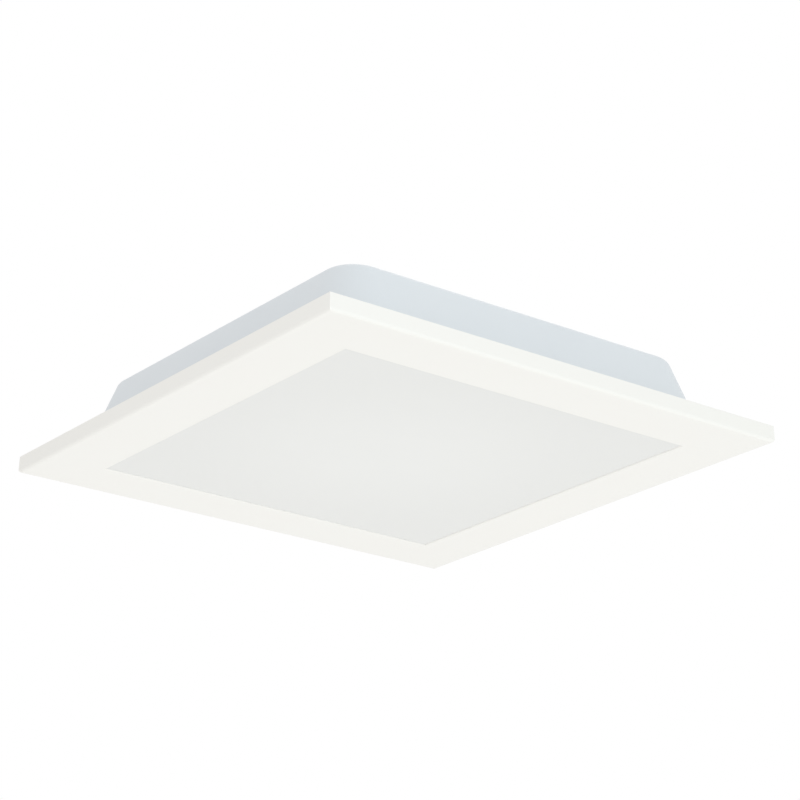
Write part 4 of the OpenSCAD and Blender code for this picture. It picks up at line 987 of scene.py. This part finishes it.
# %% Model the springs
def spring(side_name, pin, outwards):
    line, half = spring_line(pin.z - back_z)
    alone()
    bpy.ops.curve.primitive_bezier_curve_add(location=(0, 0, 0))
    wire = bpy.context.object
    wire.data.splines.clear()
    spline = wire.data.splines.new("POLY")
    spline.points.add(len(line) - 1)
    for point, (x, y, z) in zip(spline.points, line):
        point.co = (pin.x + outwards * x, pin.y + outwards * y, pin.z + z, 1)
    wire.data.bevel_depth = WIRE_R
    wire.data.bevel_resolution = 3
    wire.data.use_fill_caps = True
    only(wire)
    bpy.ops.object.convert(target="MESH")
    piece = bpy.context.object
    node = f"{side_name}_clip_spring"
    settle(piece, f"{side_name}_torsion_spring", "spring_steel", replaces=[node], angle=60)
    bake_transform(piece)


spring("right", pins["right_clip_swing"], 1)
spring("left", pins["left_clip_swing"], -1)

# %% [markdown]
# ## Cable grommet
#
# The mains cable enters through a rubber grommet that sits in the case's wall: a tube with a lip on each
# side of the wall. It starts as a cylinder. Its ends are inset and bridged to open the bore, two cuts mark
# the wall's faces, and the band between them is pushed in to the hole's radius. A profile that is spun
# would give the same form, but the bore and the groove are easier to set this way, each by one radius.
# Rubber has no sharp edges, so a bevel rounds every one.

# %% Model the grommet
BORE_R, HOLE_R, LIP, LIP_EDGE = mm(3.7), mm(5.6), mm(1.2), mm(0.35)


def grommet():
    low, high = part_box("cable_grommet")
    centre = (low + high) / 2
    lip_r = (high.x - low.x) / 2
    piece = drum(lip_r, high.y - low.y, centre, "Y", 64)
    bpy.ops.object.mode_set(mode="EDIT")
    pick(piece, "faces", lambda middle, normal: abs(normal.y) > FACING)
    bpy.ops.mesh.inset(thickness=lip_r - BORE_R)
    bpy.ops.mesh.bridge_edge_loops()
    for y in (low.y + LIP, high.y - LIP):
        bpy.ops.mesh.select_all(action="SELECT")
        bpy.ops.mesh.bisect(plane_co=(centre.x, y, centre.z), plane_no=(0, 1, 0))
    pick(piece, "faces", lambda middle, normal: abs(middle.y - centre.y) < (high.y - low.y) / 2 - LIP
         and (middle - centre).dot(normal) > 0)
    bpy.ops.mesh.extrude_region_shrink_fatten(TRANSFORM_OT_shrink_fatten={"value": HOLE_R - lip_r})
    bpy.ops.mesh.select_all(action="SELECT")
    bpy.ops.mesh.normals_make_consistent(inside=False)
    bpy.ops.object.mode_set(mode="OBJECT")
    soften(piece, LIP_EDGE, segments=3)
    settle(piece, "rubber_cable_grommet", "soft_rubber", "light", ["cable_grommet"])


grommet()

# %% [markdown]
# ## The room's light
#
# The picture is high key: white all round, with no hard shadow. So nearly all of the light comes evenly from
# the world. A picture of a studio could light it too, but it would tint the whites, and their small
# differences are what tells the parts apart. What the camera, a mirror or clear plastic sees of the world is
# plain white, which Light Path tells apart, while the light on the object stays at a plain level.

# %% World
WORLD_LIGHT = 0.87
WHITE = linear("#ffffff")


def background():
    world = bpy.data.worlds.new("soft_white_room")
    scene.world = world
    world.use_nodes = True
    tree = world.node_tree
    tree.nodes.clear()
    path = add_node(tree, "ShaderNodeLightPath")
    seen = add_node(tree, "ShaderNodeMath", {"operation": "MAXIMUM"}, {0: path.outputs["Is Camera Ray"]})
    tree.links.new(path.outputs["Is Glossy Ray"], seen.inputs[1])
    seen_all = add_node(tree, "ShaderNodeMath", {"operation": "MAXIMUM"}, {0: seen.outputs[0]})
    tree.links.new(path.outputs["Is Transmission Ray"], seen_all.inputs[1])
    room = add_node(tree, "ShaderNodeBackground", inputs={"Color": WHITE, "Strength": WORLD_LIGHT})
    white = add_node(tree, "ShaderNodeBackground", inputs={"Color": WHITE, "Strength": 1.0})
    mix = add_node(tree, "ShaderNodeMixShader", inputs={0: seen_all.outputs[0]})
    tree.links.new(room.outputs[0], mix.inputs[1])
    tree.links.new(white.outputs[0], mix.inputs[2])
    add_node(tree, "ShaderNodeOutputWorld", inputs={"Surface": mix.outputs[0]})


background()
print("world light:", WORLD_LIGHT)

# %% [markdown]
# ## The lamps
#
# Four weak lamps shape what the even light leaves flat. A small one close to the corner in front brightens
# the near end of the pan's left wall more than its far end. A broad one on the right lifts the frame's
# right side and the pan's right wall, one below lights the face, and one above shapes the pan's back.

# %% Lamps
LAMPS = (    # name, direction, distance and size in metres, share of white, colour
    ("lamp_near", (0.78, -0.58, 0.25), 0.4, 0.3, 0.055, "#eaf6ff"),
    ("lamp_right", (0.95, 0.25, -0.2), 1.8, 1.2, 0.155, "#e9fbff"),
    ("lamp_below", (0, 0, -1), 1.2, 1.0, 0.18, "#ffffff"),
    ("lamp_above", (-0.3, 0.5, 1.0), 1.8, 0.9, 0.05, "#ffffff"),
)


def lamp(name, direction, distance, size, share, colour):
    """A square lamp that adds share of a white surface's full brightness to what faces it."""
    way = Vector(direction).normalized()
    bpy.ops.object.light_add(type="AREA", location=way * distance)
    lamp_object = bpy.context.object
    lamp_object.name = name
    lamp_object.data.size = size
    lamp_object.data.energy = share * math.pi ** 2 * distance ** 2
    lamp_object.data.color = linear(colour)[:3]
    lamp_object.rotation_euler = way.to_track_quat("Z", "Y").to_euler()


for row in LAMPS:
    lamp(*row)
print("lamps:", len(LAMPS))

# %% [markdown]
# ## The floor
#
# The floor lies well under the light, out of the photo's view. Seen from elsewhere, it keeps the object's
# shadow and runs into the white background: its paint is nearly white, and to the camera alone it shines a
# little, so that its horizon hardly shows.

# %% Floor
FLOOR_Z, FLOOR_SIDE, FLOOR_GLOW = -1.25, 80, 0.12


def floor_paint():
    paint, tree = new_material("pale_floor")
    ray = add_node(tree, "ShaderNodeLightPath")
    glow = add_node(tree, "ShaderNodeMath", {"operation": "MULTIPLY"}, {
        0: ray.outputs["Is Camera Ray"], 1: FLOOR_GLOW})
    matt = add_node(tree, "ShaderNodeBsdfDiffuse", inputs={"Color": linear("#fafafa")})
    lift = add_node(tree, "ShaderNodeEmission", inputs={"Strength": glow.outputs[0]})
    both = add_node(tree, "ShaderNodeAddShader", inputs={0: matt.outputs[0]})
    tree.links.new(lift.outputs[0], both.inputs[1])
    add_node(tree, "ShaderNodeOutputMaterial", inputs={"Surface": both.outputs[0]})
    return paint


bpy.ops.mesh.primitive_plane_add(size=FLOOR_SIDE, location=(0, 0, FLOOR_Z))
floor = bpy.context.object
floor.name = "floor"
floor.data.materials.append(floor_paint())
print(f"floor {-FLOOR_Z:.2f} m below the light's face")

# %% [markdown]
# ## Finish
#
# Last, the scene is brought up to date.

# %% Finish
bpy.context.view_layer.update()
